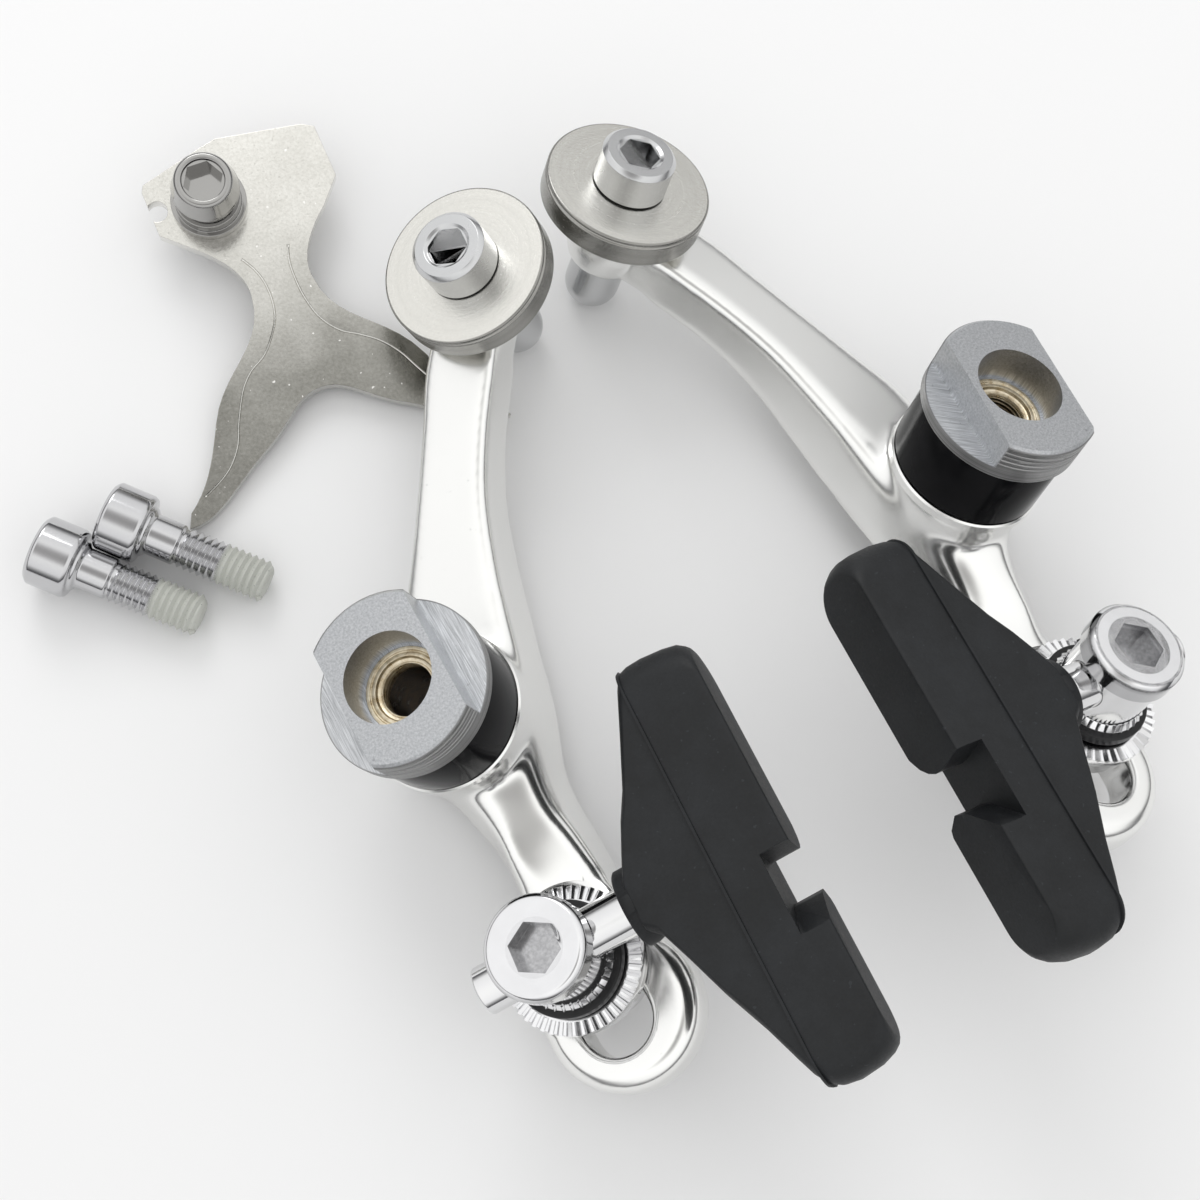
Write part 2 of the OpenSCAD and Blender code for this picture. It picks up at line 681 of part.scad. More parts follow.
// Mounting bolt along its own +Z, head end at the origin
module bolt()
  difference() {
    union() {
      rotate_extrude()
        polygon([[0, 0], [bolt_head_r - 0.5, 0], [bolt_head_r, 0.5],
          [bolt_head_r, bolt_head_h], [0, bolt_head_h]]);
      cylinder(r = bolt_r, h = bolt_head_h + bolt_len - 0.6);
      translate([0, 0, bolt_head_h + bolt_len - 0.6])
        cylinder(r1 = bolt_r, r2 = bolt_r - 0.6, h = 0.6);
      translate([0, 0, bolt_head_h]) cylinder(r1 = bolt_r + 0.7, r2 = bolt_r, h = 0.7);
    }
    translate([0, 0, -1]) hex_cut(5, 4.2);
  }

// Lying on the table with head and thread both touching
module lying(x, y, turn)
  translate([set_dx + x, set_dy + y, bolt_z])
    rotate([0, 90 + bolt_tilt, turn])
      bolt();

// Nodes

module left_arm() color([0.86, 0.86, 0.85]) at_left() arm();
module right_arm() color([0.86, 0.86, 0.85]) at_right() arm();
module left_roller() color([0.72, 0.71, 0.68]) at_left() roller();
module right_roller() color([0.72, 0.71, 0.68]) at_right() roller();
module left_roller_bolt() color([0.75, 0.76, 0.78]) at_left() roller_bolt();
module right_roller_bolt() color([0.75, 0.76, 0.78]) at_right() roller_bolt();
module left_roller_nut() color([0.72, 0.73, 0.75]) at_left() roller_nut();
module right_roller_nut() color([0.72, 0.73, 0.75]) at_right() roller_nut();
module left_pivot_cap() color([0.7, 0.71, 0.72]) at_left() pivot_cap();
module right_pivot_cap() color([0.7, 0.71, 0.72]) at_right() pivot_cap();
module left_pivot_bush() color([0.66, 0.56, 0.4]) at_left() pivot_bush();
module right_pivot_bush() color([0.66, 0.56, 0.4]) at_right() pivot_bush();
module left_spring_cover() color([0.04, 0.04, 0.04]) at_left() spring_cover();
module right_spring_cover() color([0.04, 0.04, 0.04]) at_right() spring_cover();
module left_spring() color([0.5, 0.5, 0.5]) at_left() spring();
module right_spring() color([0.5, 0.5, 0.5]) at_right() spring();
module left_seat_washer() color([0.8, 0.8, 0.82]) at_left() seat_washer();
module right_seat_washer() color([0.8, 0.8, 0.82]) at_right() seat_washer();
module left_serrated_ring() color([0.8, 0.8, 0.82]) at_left() serrated_ring();
module right_serrated_ring() color([0.8, 0.8, 0.82]) at_right() serrated_ring();
module left_eye_nut() color([0.75, 0.75, 0.77]) at_left() eye_nut();
module right_eye_nut() color([0.75, 0.75, 0.77]) at_right() eye_nut();
module left_rubber_ring() color([0.05, 0.05, 0.05]) at_left() rubber_ring();
module right_rubber_ring() color([0.05, 0.05, 0.05]) at_right() rubber_ring();
module left_toothed_washer() color([0.7, 0.7, 0.72]) at_left() toothed_washer();
module right_toothed_washer() color([0.7, 0.7, 0.72]) at_right() toothed_washer();
module left_eye_bolt() color([0.8, 0.8, 0.82]) at_left() eye_bolt(pad_turn_left);
module right_eye_bolt() color([0.8, 0.8, 0.82]) at_right() eye_bolt(pad_turn_right);
module left_clamp_sleeve() color([0.8, 0.8, 0.82]) at_left() clamp_sleeve(pad_turn_left);
module right_clamp_sleeve() color([0.8, 0.8, 0.82]) at_right() clamp_sleeve(pad_turn_right);
module left_pad_post() color([0.8, 0.8, 0.82]) at_left() pad_post(pad_turn_left, pad_gap_left);
module right_pad_post() color([0.8, 0.8, 0.82]) at_right() pad_post(pad_turn_right, pad_gap_right);
module left_pad() color([0.06, 0.06, 0.06]) at_left() pad(pad_turn_left, pad_tilt_left, pad_gap_left);
module right_pad() color([0.06, 0.06, 0.06]) at_right() pad(pad_turn_right, pad_tilt_right, pad_gap_right);
module mounting_bolts() color([0.75, 0.75, 0.77]) {
  lying(bolt_a_x, bolt_a_y, bolt_a_turn);
  lying(bolt_b_x, bolt_b_y, bolt_b_turn);
}

left_arm();
right_arm();
left_roller();
right_roller();
left_roller_bolt();
right_roller_bolt();
left_roller_nut();
right_roller_nut();
left_pivot_cap();
right_pivot_cap();
left_pivot_bush();
right_pivot_bush();
left_spring_cover();
right_spring_cover();
left_spring();
right_spring();
left_seat_washer();
right_seat_washer();
left_serrated_ring();
right_serrated_ring();
left_eye_nut();
right_eye_nut();
left_rubber_ring();
right_rubber_ring();
left_toothed_washer();
right_toothed_washer();
left_eye_bolt();
right_eye_bolt();
left_clamp_sleeve();
right_clamp_sleeve();
left_pad_post();
right_pad_post();
left_pad();
right_pad();
color([0.6, 0.6, 0.57]) cam_plate();
color([0.75, 0.75, 0.77]) cable_clamp_bolt();
color([0.8, 0.8, 0.8]) cable_clamp_washers();
color([0.75, 0.75, 0.77]) cable_clamp_nut();
mounting_bolts();
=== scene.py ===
import json
import math

import bmesh
import bpy
from mathutils import Euler, Matrix, Vector

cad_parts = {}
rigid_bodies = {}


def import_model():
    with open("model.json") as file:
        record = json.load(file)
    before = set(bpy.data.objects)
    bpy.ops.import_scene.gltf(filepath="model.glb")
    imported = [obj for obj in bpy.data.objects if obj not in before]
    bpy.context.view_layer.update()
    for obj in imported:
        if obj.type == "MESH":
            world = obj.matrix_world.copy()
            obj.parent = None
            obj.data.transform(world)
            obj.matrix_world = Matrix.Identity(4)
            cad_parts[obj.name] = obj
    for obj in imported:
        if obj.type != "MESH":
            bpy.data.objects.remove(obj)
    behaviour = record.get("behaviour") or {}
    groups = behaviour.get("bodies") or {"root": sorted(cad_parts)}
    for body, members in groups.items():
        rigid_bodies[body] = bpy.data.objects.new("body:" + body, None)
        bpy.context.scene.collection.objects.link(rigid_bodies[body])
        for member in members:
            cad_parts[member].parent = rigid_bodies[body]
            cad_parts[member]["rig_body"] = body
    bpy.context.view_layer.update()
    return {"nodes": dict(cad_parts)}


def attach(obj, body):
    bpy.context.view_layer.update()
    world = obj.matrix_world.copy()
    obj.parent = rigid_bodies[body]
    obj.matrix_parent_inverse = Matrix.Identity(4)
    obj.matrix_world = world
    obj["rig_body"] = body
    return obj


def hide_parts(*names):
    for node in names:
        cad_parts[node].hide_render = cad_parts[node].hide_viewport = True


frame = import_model()
nodes = frame["nodes"]
bodyOf = {name: piece["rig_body"] for name, piece in nodes.items()}
mm = 0.001

# Where the arms, the cam plate and the bolts lie, in millimetres and degrees
layout = {
    "armLong": 60, "eye": (19, -31),  # roller axis and eye bolt axis from the pivot
    "setX": -13.57, "setY": -69.96, "armZ": 14.64, "lean": 22.6, "pitch": -0.95,
    "leftAt": (-6.13, 50.31), "leftTurn": -4.53,
    "rightAt": (65.5, 86.13), "rightTurn": 54.62,
    "plateAt": (-19.2, 88.3), "plateTilt": 7.52, "plateLift": 2.14, "plateTurn": 22.1,
    "boltSpots": ((-62.4, 74.1, -21.1), (-53.4, 79.2, -21.4)),
}


def frameAt(x, y, z, angles, mirrored=False):
    turn = Euler([math.radians(a) for a in angles]).to_matrix().to_4x4()
    flip = Matrix.Diagonal((-1 if mirrored else 1, 1, 1, 1))
    return Matrix.Scale(mm, 4) @ Matrix.Translation((x, y, z)) @ turn @ flip


def armFrame(side):
    x, y = layout[side + "At"]
    lean = layout["lean"] * (-1 if side == "left" else 1)
    return frameAt(layout["setX"] + x, layout["setY"] + y, layout["armZ"],
                   (layout["pitch"], lean, layout[side + "Turn"]), side == "right")


def plateFrame():
    x, y = layout["plateAt"]
    return frameAt(layout["setX"] + x, layout["setY"] + y, layout["plateLift"],
                   (layout["plateTilt"], 0, layout["plateTurn"]))


armFrames = {side: armFrame(side) for side in ("left", "right")}
eyeFrames = {side: matrix @ Matrix.Translation((*layout["eye"], 0)) for side, matrix in armFrames.items()}

# Camera


def makeCamera():
    spot = {"lens": 56.56, "sensor": 36, "at": (-0.01357, -0.06996, 0.2583),
            "right": (0.998, 0.0, 0.060), "up": (-0.016, 0.966, 0.259)}
    data = bpy.data.cameras.new("camera")
    data.lens, data.sensor_width = spot["lens"], spot["sensor"]
    data.clip_start = 0.01
    camera = bpy.data.objects.new("camera", data)
    bpy.context.scene.collection.objects.link(camera)
    right = Vector(spot["right"]).normalized()
    back = right.cross(Vector(spot["up"])).normalized()
    up = back.cross(right)
    turn = Matrix((right, up, back)).transposed().to_4x4()
    camera.matrix_world = Matrix.Translation(spot["at"]) @ turn
    bpy.context.scene.camera = camera


makeCamera()
print("camera placed")

# Shader helpers


class Link:
    # A node's output that takes part in plain sums
    def __init__(self, net, output):
        self.net, self.output = net, output

    def __add__(self, other): return self.net.maths("ADD", self, other)
    def __radd__(self, other): return self.net.maths("ADD", other, self)
    def __sub__(self, other): return self.net.maths("SUBTRACT", self, other)
    def __rsub__(self, other): return self.net.maths("SUBTRACT", other, self)
    def __mul__(self, other): return self.net.maths("MULTIPLY", self, other)
    def __rmul__(self, other): return self.net.maths("MULTIPLY", other, self)
    def __truediv__(self, other): return self.net.maths("DIVIDE", self, other)
    def __pow__(self, other): return self.net.maths("POWER", self, other)


class Net:
    # A node tree whose nodes all come from one method
    def __init__(self, tree):
        self.tree = tree

    def node(self, kind, settings=None, sockets=None, out=0):
        made = self.tree.nodes.new(kind)
        for key, value in (settings or {}).items():
            if key == "stops":
                ramp = made.color_ramp.elements
                while len(ramp) < len(value):
                    ramp.new(0.5)
                for stop, (spot, tone) in zip(ramp, value):
                    stop.position, stop.color = spot, (*tone, 1)
            else:
                setattr(made, key, value)
        for key, value in (sockets or {}).items():
            self.feed(made.inputs[key], value)
        return Link(self, made.outputs[out]) if made.outputs else made

    def feed(self, socket, value):
        if isinstance(value, Link):
            self.tree.links.new(value.output, socket)
        elif socket.type == "RGBA" and len(value) == 3:
            socket.default_value = (*value, 1)
        else:
            socket.default_value = value

    def maths(self, operation, first, second=0.0):
        return self.node("ShaderNodeMath", {"operation": operation}, {0: first, 1: second})

    def vector(self, x=0.0, y=0.0, z=0.0):
        return self.node("ShaderNodeCombineXYZ", None, {0: x, 1: y, 2: z})

    def apart(self, spot):
        first = self.node("ShaderNodeSeparateXYZ", None, {0: spot})
        return [Link(self, output) for output in first.output.node.outputs]


class Finish(Net):
    # One material and the nodes that feed its shader
    def __init__(self, name, **fixed):
        self.material = bpy.data.materials.new(name)
        self.material.use_nodes = True
        super().__init__(self.material.node_tree)
        self.shader = self.tree.nodes["Principled BSDF"]
        for socket, value in fixed.items():
            self.shader.inputs[socket.replace("_", " ")].default_value = value

    def set(self, socket, value):
        self.feed(self.shader.inputs[socket], value)

    def spot(self, matrix=None):
        here = self.node("ShaderNodeTexCoord", out="Object")
        if matrix is None:
            return here
        if matrix.determinant() < 0:  # a mirrored arm: turn its frame back to right-handed
            matrix = matrix @ Matrix.Diagonal((-1, 1, 1, 1))
        place, turn = matrix.decompose()[:2]
        return self.node("ShaderNodeMapping", {"vector_type": "TEXTURE"},
                         {"Vector": here, "Location": place, "Rotation": turn.to_euler(),
                          "Scale": (mm, mm, mm)})

    def noise(self, spot, scale, detail=3, rough=0.55, out="Fac"):
        return self.node("ShaderNodeTexNoise", None, {"Vector": spot, "Scale": scale,
                         "Detail": detail, "Roughness": rough}, out)

    def spread(self, value, low, high, toLow=0.0, toHigh=1.0):
        return self.node("ShaderNodeMapRange", None, {"Value": value, "From Min": low,
                         "From Max": high, "To Min": toLow, "To Max": toHigh})

    def mix(self, part, first, second):
        return self.node("ShaderNodeMix", {"data_type": "RGBA"}, {0: part, 6: first, 7: second}, 2)

    def bump(self, height, strength, distance):
        self.set("Normal", self.node("ShaderNodeBump", None,
                 {"Strength": strength, "Distance": distance, "Height": height}))


# Finishes. Distances inside a material are metres unless a frame is given, then millimetres.


def polishedAluminium(name, matrix):
    # Bends buffed brighter than the flat upper leg
    look = {"clear": (0.88, 0.88, 0.865), "deep": (0.83, 0.83, 0.815), "leg": 0.24, "bend": 0.17}
    f = Finish(name, Metallic=1.0)
    spot = f.spot()
    y = f.apart(f.spot(matrix))[1]
    broad = f.noise(spot, 70, 2)
    fine = f.noise(spot, 1300, 3, 0.6)
    speck = f.spread(f.noise(spot, 1500, 1), 0.74, 0.8)
    f.set("Base Color", f.mix(speck * 0.2, f.mix(broad, look["deep"], look["clear"]), (0.45, 0.45, 0.44)))
    leg = f.spread(y, -4, 14, look["bend"], look["leg"])
    f.set("Roughness", leg + f.spread(broad * 0.6 + fine * 0.4, 0.3, 0.7, -0.02, 0.04))
    f.bump(broad, 0.08, 0.0003)
    return f.material


def rollerNickel(name, matrix):
    # Lathe rings round the roller's own axis, with fine speckle and painted shade: the round side takes the
    # face's tones at half strength
    look = {"light": (0.74, 0.73, 0.69), "dark": (0.66, 0.65, 0.61), "shine": 0.2, "haze": 0.3,
            "rings": 1.6, "speckle": 0.8, "side": 11.45, "sideTone": 0.5}
    f = Finish(name, Metallic=1.0)
    spot = f.spot(matrix)
    x, y, z = f.apart(spot)
    radius = (x * x + y * y) ** 0.5
    ring = f.noise(f.vector(radius, z), look["rings"], 5, 0.7)
    grain = f.noise(spot, 3.5, 4, 0.7)
    face = f.mix(f.spread(ring * 0.5 + grain * 0.5, 0.35, 0.65), look["dark"], look["light"])
    # painted shade: the round side is a darkened copy of the face's tones
    shadedSide = f.mix(f.spread(ring * 0.7 + grain * 0.3, 0.35, 0.65),
                 [c * look["sideTone"] * 0.8 for c in look["dark"]],
                 [c * look["sideTone"] for c in look["light"]])
    f.set("Base Color", f.mix(f.spread(radius, look["side"] - 0.12, look["side"]), face, shadedSide))
    f.set("Roughness", f.spread(ring * 0.6 + grain * 0.4, 0.3, 0.7, look["shine"], look["haze"]))
    f.bump(ring * (1 - look["speckle"]) + grain * look["speckle"], 0.25, 0.00012)
    return f.material


def capAluminium(name, matrix):
    # Matt cast face, ledges brushed along the spanner flats, turned rings and painted shade on the round side
    look = {"flatTurn": 35, "ledge": 13.0, "light": (0.55, 0.56, 0.575), "dark": (0.38, 0.39, 0.405),
            "side": (0.30, 0.30, 0.30), "sideFrom": 11.28, "mark": (0.22, 0.22, 0.23)}
    f = Finish(name, Metallic=1.0)
    spot = f.spot(matrix)
    x, y, z = f.apart(spot)
    radius = (x * x + y * y) ** 0.5
    a = math.radians(look["flatTurn"])
    along, across = x * -math.sin(a) + y * math.cos(a), x * math.cos(a) + y * math.sin(a)
    brush = f.noise(f.vector(along * 0.12, across * 3.5), 1.6, 4, 0.7)
    rings = f.noise(f.vector(radius, z), 3.2, 4, 0.7)
    grain = f.noise(spot, 3.2, 4, 0.72)
    marks = f.spread(f.noise(spot, 1.3, 3), 0.66, 0.7)
    onLedge = 1 - f.spread(z, look["ledge"] - 0.5, look["ledge"])
    onShadedSide = f.spread(radius, look["sideFrom"], look["sideFrom"] + 0.12)
    cast = f.mix(f.spread(grain, 0.36, 0.64), look["dark"], look["light"])
    brushed = f.mix(f.spread(brush, 0.34, 0.66), [c * 0.85 for c in look["dark"]],
                    [c * 1.3 for c in look["light"]])
    top = f.mix(marks * 0.4, f.mix(onLedge, cast, brushed), look["mark"])
    # painted shade: the round side is painted dark grey under its turned rings
    side = f.mix(f.spread(rings, 0.35, 0.65), [c * 0.6 for c in look["side"]],
                 [c * 1.2 for c in look["side"]])
    f.set("Base Color", f.mix(onShadedSide, top, side))
    f.set("Roughness", f.spread(grain, 0.3, 0.7, 0.32, 0.46))
    f.bump(grain * (1 - onLedge) + brush * onLedge + rings * onShadedSide, 0.3, 0.00012)
    return f.material


def eyeChrome(name, matrix):
    # Chrome with a dull socket, and painted shade: the socket darker, a thin dark line at the head's rim and
    # the head's side darker
    look = {"clear": (0.80, 0.80, 0.81), "deep": (0.70, 0.70, 0.71), "dim": (0.03, 0.03, 0.035),
            "socket": 0.5, "rim": 0.3, "side": 0.34}
    f = Finish(name, Metallic=1.0)
    spot = f.spot(matrix)
    x, y, z = f.apart(spot)
    radius = (x * x + y * y) ** 0.5
    smear = f.noise(spot, 0.35, 3)
    grain = f.noise(spot, 2.2, 3)
    # painted shade: socket, rim line and head side are mixed towards one dark tone
    inside = (1 - f.spread(radius, 4.0, 4.2)) * (1 - f.spread(z, 7.0, 7.6))
    rim = f.spread(radius, 6.25, 6.45) * f.spread(z, 6.6, 7.0) * f.spread(smear, 0.3, 0.6)
    shade = 1 - inside * look["socket"] * f.spread(grain, 0.3, 0.7, 0.7, 1.1)
    side = f.spread(radius, 4.5, 5.0) * (1 - f.spread(z, 7.2, 7.9))
    shade = shade * (1 - rim * look["rim"]) * (1 - side * look["side"])
    f.set("Base Color", f.mix(shade, look["dim"], f.mix(smear, look["deep"], look["clear"])))
    f.set("Roughness", f.spread(smear * 0.7 + grain * 0.3, 0.3, 0.7, 0.05, 0.11) + inside * 0.12)
    f.bump(smear, 0.06, 0.0002)
    return f.material


def brightSteel(name, tone, shine, wear=0.05):
    f = Finish(name, Metallic=1.0)
    spot = f.spot()
    smear = f.noise(spot, 160, 3)
    grain = f.noise(spot, 1500, 2)
    f.set("Base Color", f.mix(smear, [c * 0.9 for c in tone], tone))
    f.set("Roughness", f.spread(smear * 0.7 + grain * 0.3, 0.3, 0.7, shine, shine + wear))
    f.bump(grain, 0.05, 0.00005)
    return f.material


def bronze(matrix):
    f = Finish("bronze", Metallic=1.0)
    spot = f.spot(matrix)
    z = f.apart(spot)[2]
    stain = f.noise(spot, 0.9, 4, 0.6)
    bright = f.mix(f.spread(stain, 0.35, 0.65), (0.50, 0.41, 0.27), (0.82, 0.74, 0.58))
    deep = f.mix(f.spread(stain, 0.35, 0.65), (0.05, 0.035, 0.02), (0.16, 0.11, 0.065))
    # painted shade: below the front face the bronze goes near black, deepest in the bore
    f.set("Base Color", f.mix(f.spread(z, 8.2, 10.2), deep, bright))
    f.set("Roughness", f.spread(stain, 0.3, 0.7, 0.24, 0.42))
    f.bump(f.noise(spot, 5, 3), 0.2, 0.0001)
    return f.material


def coverBlack():
    f = Finish("coverBlack", Specular_IOR_Level=0.3, IOR=1.2)
    spot = f.spot()
    f.set("Base Color", f.mix(f.noise(spot, 300, 3), (0.003, 0.003, 0.0035), (0.008, 0.008, 0.009)))
    f.set("Roughness", f.spread(f.noise(spot, 500, 3), 0.3, 0.7, 0.1, 0.18))
    f.bump(f.noise(spot, 120, 1), 0.03, 0.0001)
    return f.material


def rubber(name, deep, dusty, rough):
    f = Finish(name, Specular_IOR_Level=0.38)
    spot = f.spot()
    dust = f.noise(spot, 120, 5, 0.7)
    grain = f.noise(spot, 2600, 3, 0.6)
    specks = f.spread(f.noise(spot, 1400, 1), 0.72, 0.76)
    body = f.mix(f.spread(dust, 0.38, 0.68), deep, dusty)
    f.set("Base Color", f.mix(specks * 0.35, body, [c * 3 for c in dusty]))
    f.set("Roughness", f.spread(dust * 0.5 + grain * 0.5, 0.3, 0.7, rough, rough + 0.18))
    f.bump(grain * 0.4 + dust * 0.6, 0.35, 0.00012)
    return f.material


def plateNickel():
    # Tumbled plate: smooth shine under fine pits, a few bright grains, painted shade on the legs, painted
    # reflection on the head and a painted highlight along the rim
    look = {"legs": ((0.27, 0.265, 0.24), (0.40, 0.395, 0.365)),
            "head": ((0.62, 0.61, 0.57), (0.80, 0.79, 0.75)),
            "legsTo": 20, "headFrom": 42, "rim": (0.86, 0.85, 0.82), "pit": (0.25, 0.24, 0.22),
            "grain": (0.9, 0.89, 0.86), "thick": 2}
    f = Finish("plateNickel", Metallic=1.0)
    spot = f.spot()
    cloud = f.noise(spot, 90, 3)
    grit = f.noise(spot, 2200, 3, 0.6)
    pits = f.spread(f.noise(spot, 2600, 1), 0.66, 0.72)
    grains = f.spread(f.noise(spot, 1300, 1), 0.75, 0.78)
    y, z = f.apart(f.spot(plateFrame()))[1:]
    # painted shade and reflection: the legs darker and the head lighter along the plate's length
    litHead = f.spread(y + cloud * 10, look["legsTo"], look["headFrom"])
    deep, clear = (f.mix(litHead, leg, head) for leg, head in zip(look["legs"], look["head"]))
    body = f.mix(f.spread(cloud * 0.5 + grit * 0.5, 0.35, 0.65), deep, clear)
    # painted highlight: the plate's thin side band is painted near-white
    rim = (1 - f.spread(z, -0.2, -0.08)) * f.spread(z, 0.1 - look["thick"], 0.3 - look["thick"])
    body = f.mix(rim * 0.75, body, look["rim"])
    f.set("Base Color", f.mix(grains, f.mix(pits * 0.22, body, look["pit"]), look["grain"]))
    f.set("Roughness", f.spread(cloud * 0.4 + grit * 0.6, 0.35, 0.65, 0.13, 0.22))
    f.bump(grit * 0.6 + cloud * 0.4, 0.14, 0.0001)
    return f.material


finishes = {
    "zinc_steel": brightSteel("zincSteel", (0.60, 0.605, 0.61), 0.14, 0.14),
    "chrome_steel": brightSteel("chromeSteel", (0.78, 0.78, 0.785), 0.045, 0.05),
    "ring_steel": brightSteel("ringSteel", (0.86, 0.86, 0.87), 0.12, 0.1),
    "clamp_steel": brightSteel("clampSteel", (0.40, 0.395, 0.385), 0.08, 0.08),
    "spring_steel": brightSteel("springSteel", (0.5, 0.5, 0.5), 0.25, 0.1),
    "cover_black": coverBlack(),
    "ring_rubber": rubber("ringRubber", (0.006, 0.006, 0.007), (0.015, 0.015, 0.016), 0.3),
    "pad_rubber": rubber("padRubber", (0.004, 0.0048, 0.0058), (0.011, 0.0125, 0.0145), 0.46),
    "plate_nickel": plateNickel(),
}
for side, matrix in armFrames.items():
    finishes[side + "_arm"] = polishedAluminium(side + "ArmAluminium", matrix)
    onRoller = matrix @ Matrix.Translation((0, layout["armLong"], 0))
    finishes[side + "_roller"] = rollerNickel(side + "RollerNickel", onRoller)
    finishes[side + "_cap"] = capAluminium(side + "CapAluminium", matrix)
    finishes[side + "_bush"] = bronze(matrix)
    finishes[side + "_eye_chrome"] = eyeChrome(side + "EyeChrome", eyeFrames[side])
print("finishes made:", len(finishes))

# Mesh helpers


def plain(piece):
    # The piece's mesh with its modifiers worked in, and the helper object gone
    bpy.context.view_layer.update()
    mesh = bpy.data.meshes.new_from_object(piece.evaluated_get(bpy.context.evaluated_depsgraph_get()))
    mesh.name = piece.name + "Mesh"
    bpy.data.objects.remove(piece)
    return mesh


def helper(name, mesh):
    piece = bpy.data.objects.new(name, mesh)
    bpy.context.scene.collection.objects.link(piece)
    return piece


def keep(name, mesh, finish, node):
    # A finished piece, which rides on its CAD node's body and takes the node's place
    piece = helper(name, mesh)
    mesh.materials.clear()
    mesh.materials.append(finish)
    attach(piece, bodyOf[node])
    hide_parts(node)


def bmeshToMesh(bm, name, matrix=None):
    if matrix is not None:
        bm.transform(matrix)
    bmesh.ops.recalc_face_normals(bm, faces=bm.faces)
    mesh = bpy.data.meshes.new(name)
    bm.to_mesh(mesh)
    bm.free()
    return mesh


def shaded(mesh, angle=35):
    mesh.shade_smooth()
    mesh.set_sharp_from_angle(angle=math.radians(angle))
    return mesh


def evened(mesh, angle=35):
    # Big flat faces keep flat shading beside their fine bevels
    piece = helper("evenHelper", shaded(mesh, angle))
    even = piece.modifiers.new("even", "WEIGHTED_NORMAL")
    even.keep_sharp, even.weight = True, 90
    return plain(piece)


def softened(node, width, segments=2, angle=30):
    # A CAD node's own shape with its hard edges broken by a fine bevel
    bm = bmesh.new()
    bm.from_mesh(nodes[node].data)
    bmesh.ops.remove_doubles(bm, verts=bm.verts, dist=2e-6)
    bmesh.ops.dissolve_limit(bm, angle_limit=math.radians(0.6), verts=bm.verts, edges=bm.edges)
    mesh = bpy.data.meshes.new(node + "Soft")
    bm.to_mesh(mesh)
    bm.free()
    mesh.shade_smooth()
    piece = helper(node + "Helper", mesh)
    bevel = piece.modifiers.new("bevel", "BEVEL")
    bevel.width, bevel.segments, bevel.limit_method = width * mm, segments, "ANGLE"
    bevel.angle_limit, bevel.use_clamp_overlap = math.radians(angle), True
    even = piece.modifiers.new("even", "WEIGHTED_NORMAL")
    even.keep_sharp, even.weight = False, 60
    return plain(piece)


def circlePoint(x, y, radius, a, z=0.0):
    return Vector((x + radius * math.cos(a), y + radius * math.sin(a), z))


def lathe(profile, steps=96):
    # Closed ring from a profile of (radius, height) points
    bm = bmesh.new()
    rings = [[bm.verts.new(circlePoint(0, 0, r, 2 * math.pi * i / steps, z)) for r, z in profile]
             for i in range(steps)]
    for i in range(steps):
        here, there = rings[i], rings[(i + 1) % steps]
        for j in range(len(profile)):
            k = (j + 1) % len(profile)
            bm.faces.new((here[j], there[j], there[k], here[k]))
    return bm


def rounded(profile, radius, steps=3):
    # The closed profile with its corners cut to short arcs
    out = []
    for i, corner in enumerate(profile):
        here = Vector(corner)
        before, after = Vector(profile[i - 1]) - here, Vector(profile[(i + 1) % len(profile)]) - here
        r = min(radius, before.length * 0.45, after.length * 0.45)
        start, end = here + before.normalized() * r, here + after.normalized() * r
        for j in range(steps + 1):
            t = j / steps
            out.append((start * (1 - t) ** 2 + here * 2 * t * (1 - t) + end * t * t)[:])
    return out


# Brake arms

armShape = {
    "length": layout["armLong"], "tipRadius": 6.3, "tipBack": -5.5, "seat": 4.4,
    "bossRadius": 10.4, "bossDepth": 11.5,
    "rimRadius": 11.0, "rimHeight": 1.4, "bore": 5.65, "boltHole": 3.0,
    "eye": layout["eye"], "loopFront": -10.6, "loopDepth": 7.0, "loopRadius": 10.6,
    "slotRadius": 4.8, "slotTurn": -53.99, "slotUp": 6.4, "slotDown": 8.0, "landUp": 2.1,
    "landRadius": 9.05, "voxel": 0.28, "smoothing": 26, "filletSmoothing": 150,
    # Loop outline and its round end, from the eye bolt's axis
    "loopSide": ((-9, 8), (2, 11.5), (7.4, 5.8), (12.4, 1.2), (4.8, -5), (-4.6, -9.6), (-7.4, -4), (-9.4, 2)),
    "loopEnd": (4.8, -5),
    # Fillet zones: middle, reach, then the lowest depth or, for the tip, the strength
    "bossZone": (12, 5.5, -13), "loopZone": (-21.5, 3.5, -14.5), "tipZone": (8.6, 2.5, 0.8),
    # The section's corner cut, its growth, the stations where it grows, steps per station
    "cut": 0.17, "cutGrowth": 0.09, "cutFrom": 6, "cutOver": 1.5, "steps": 8,
}
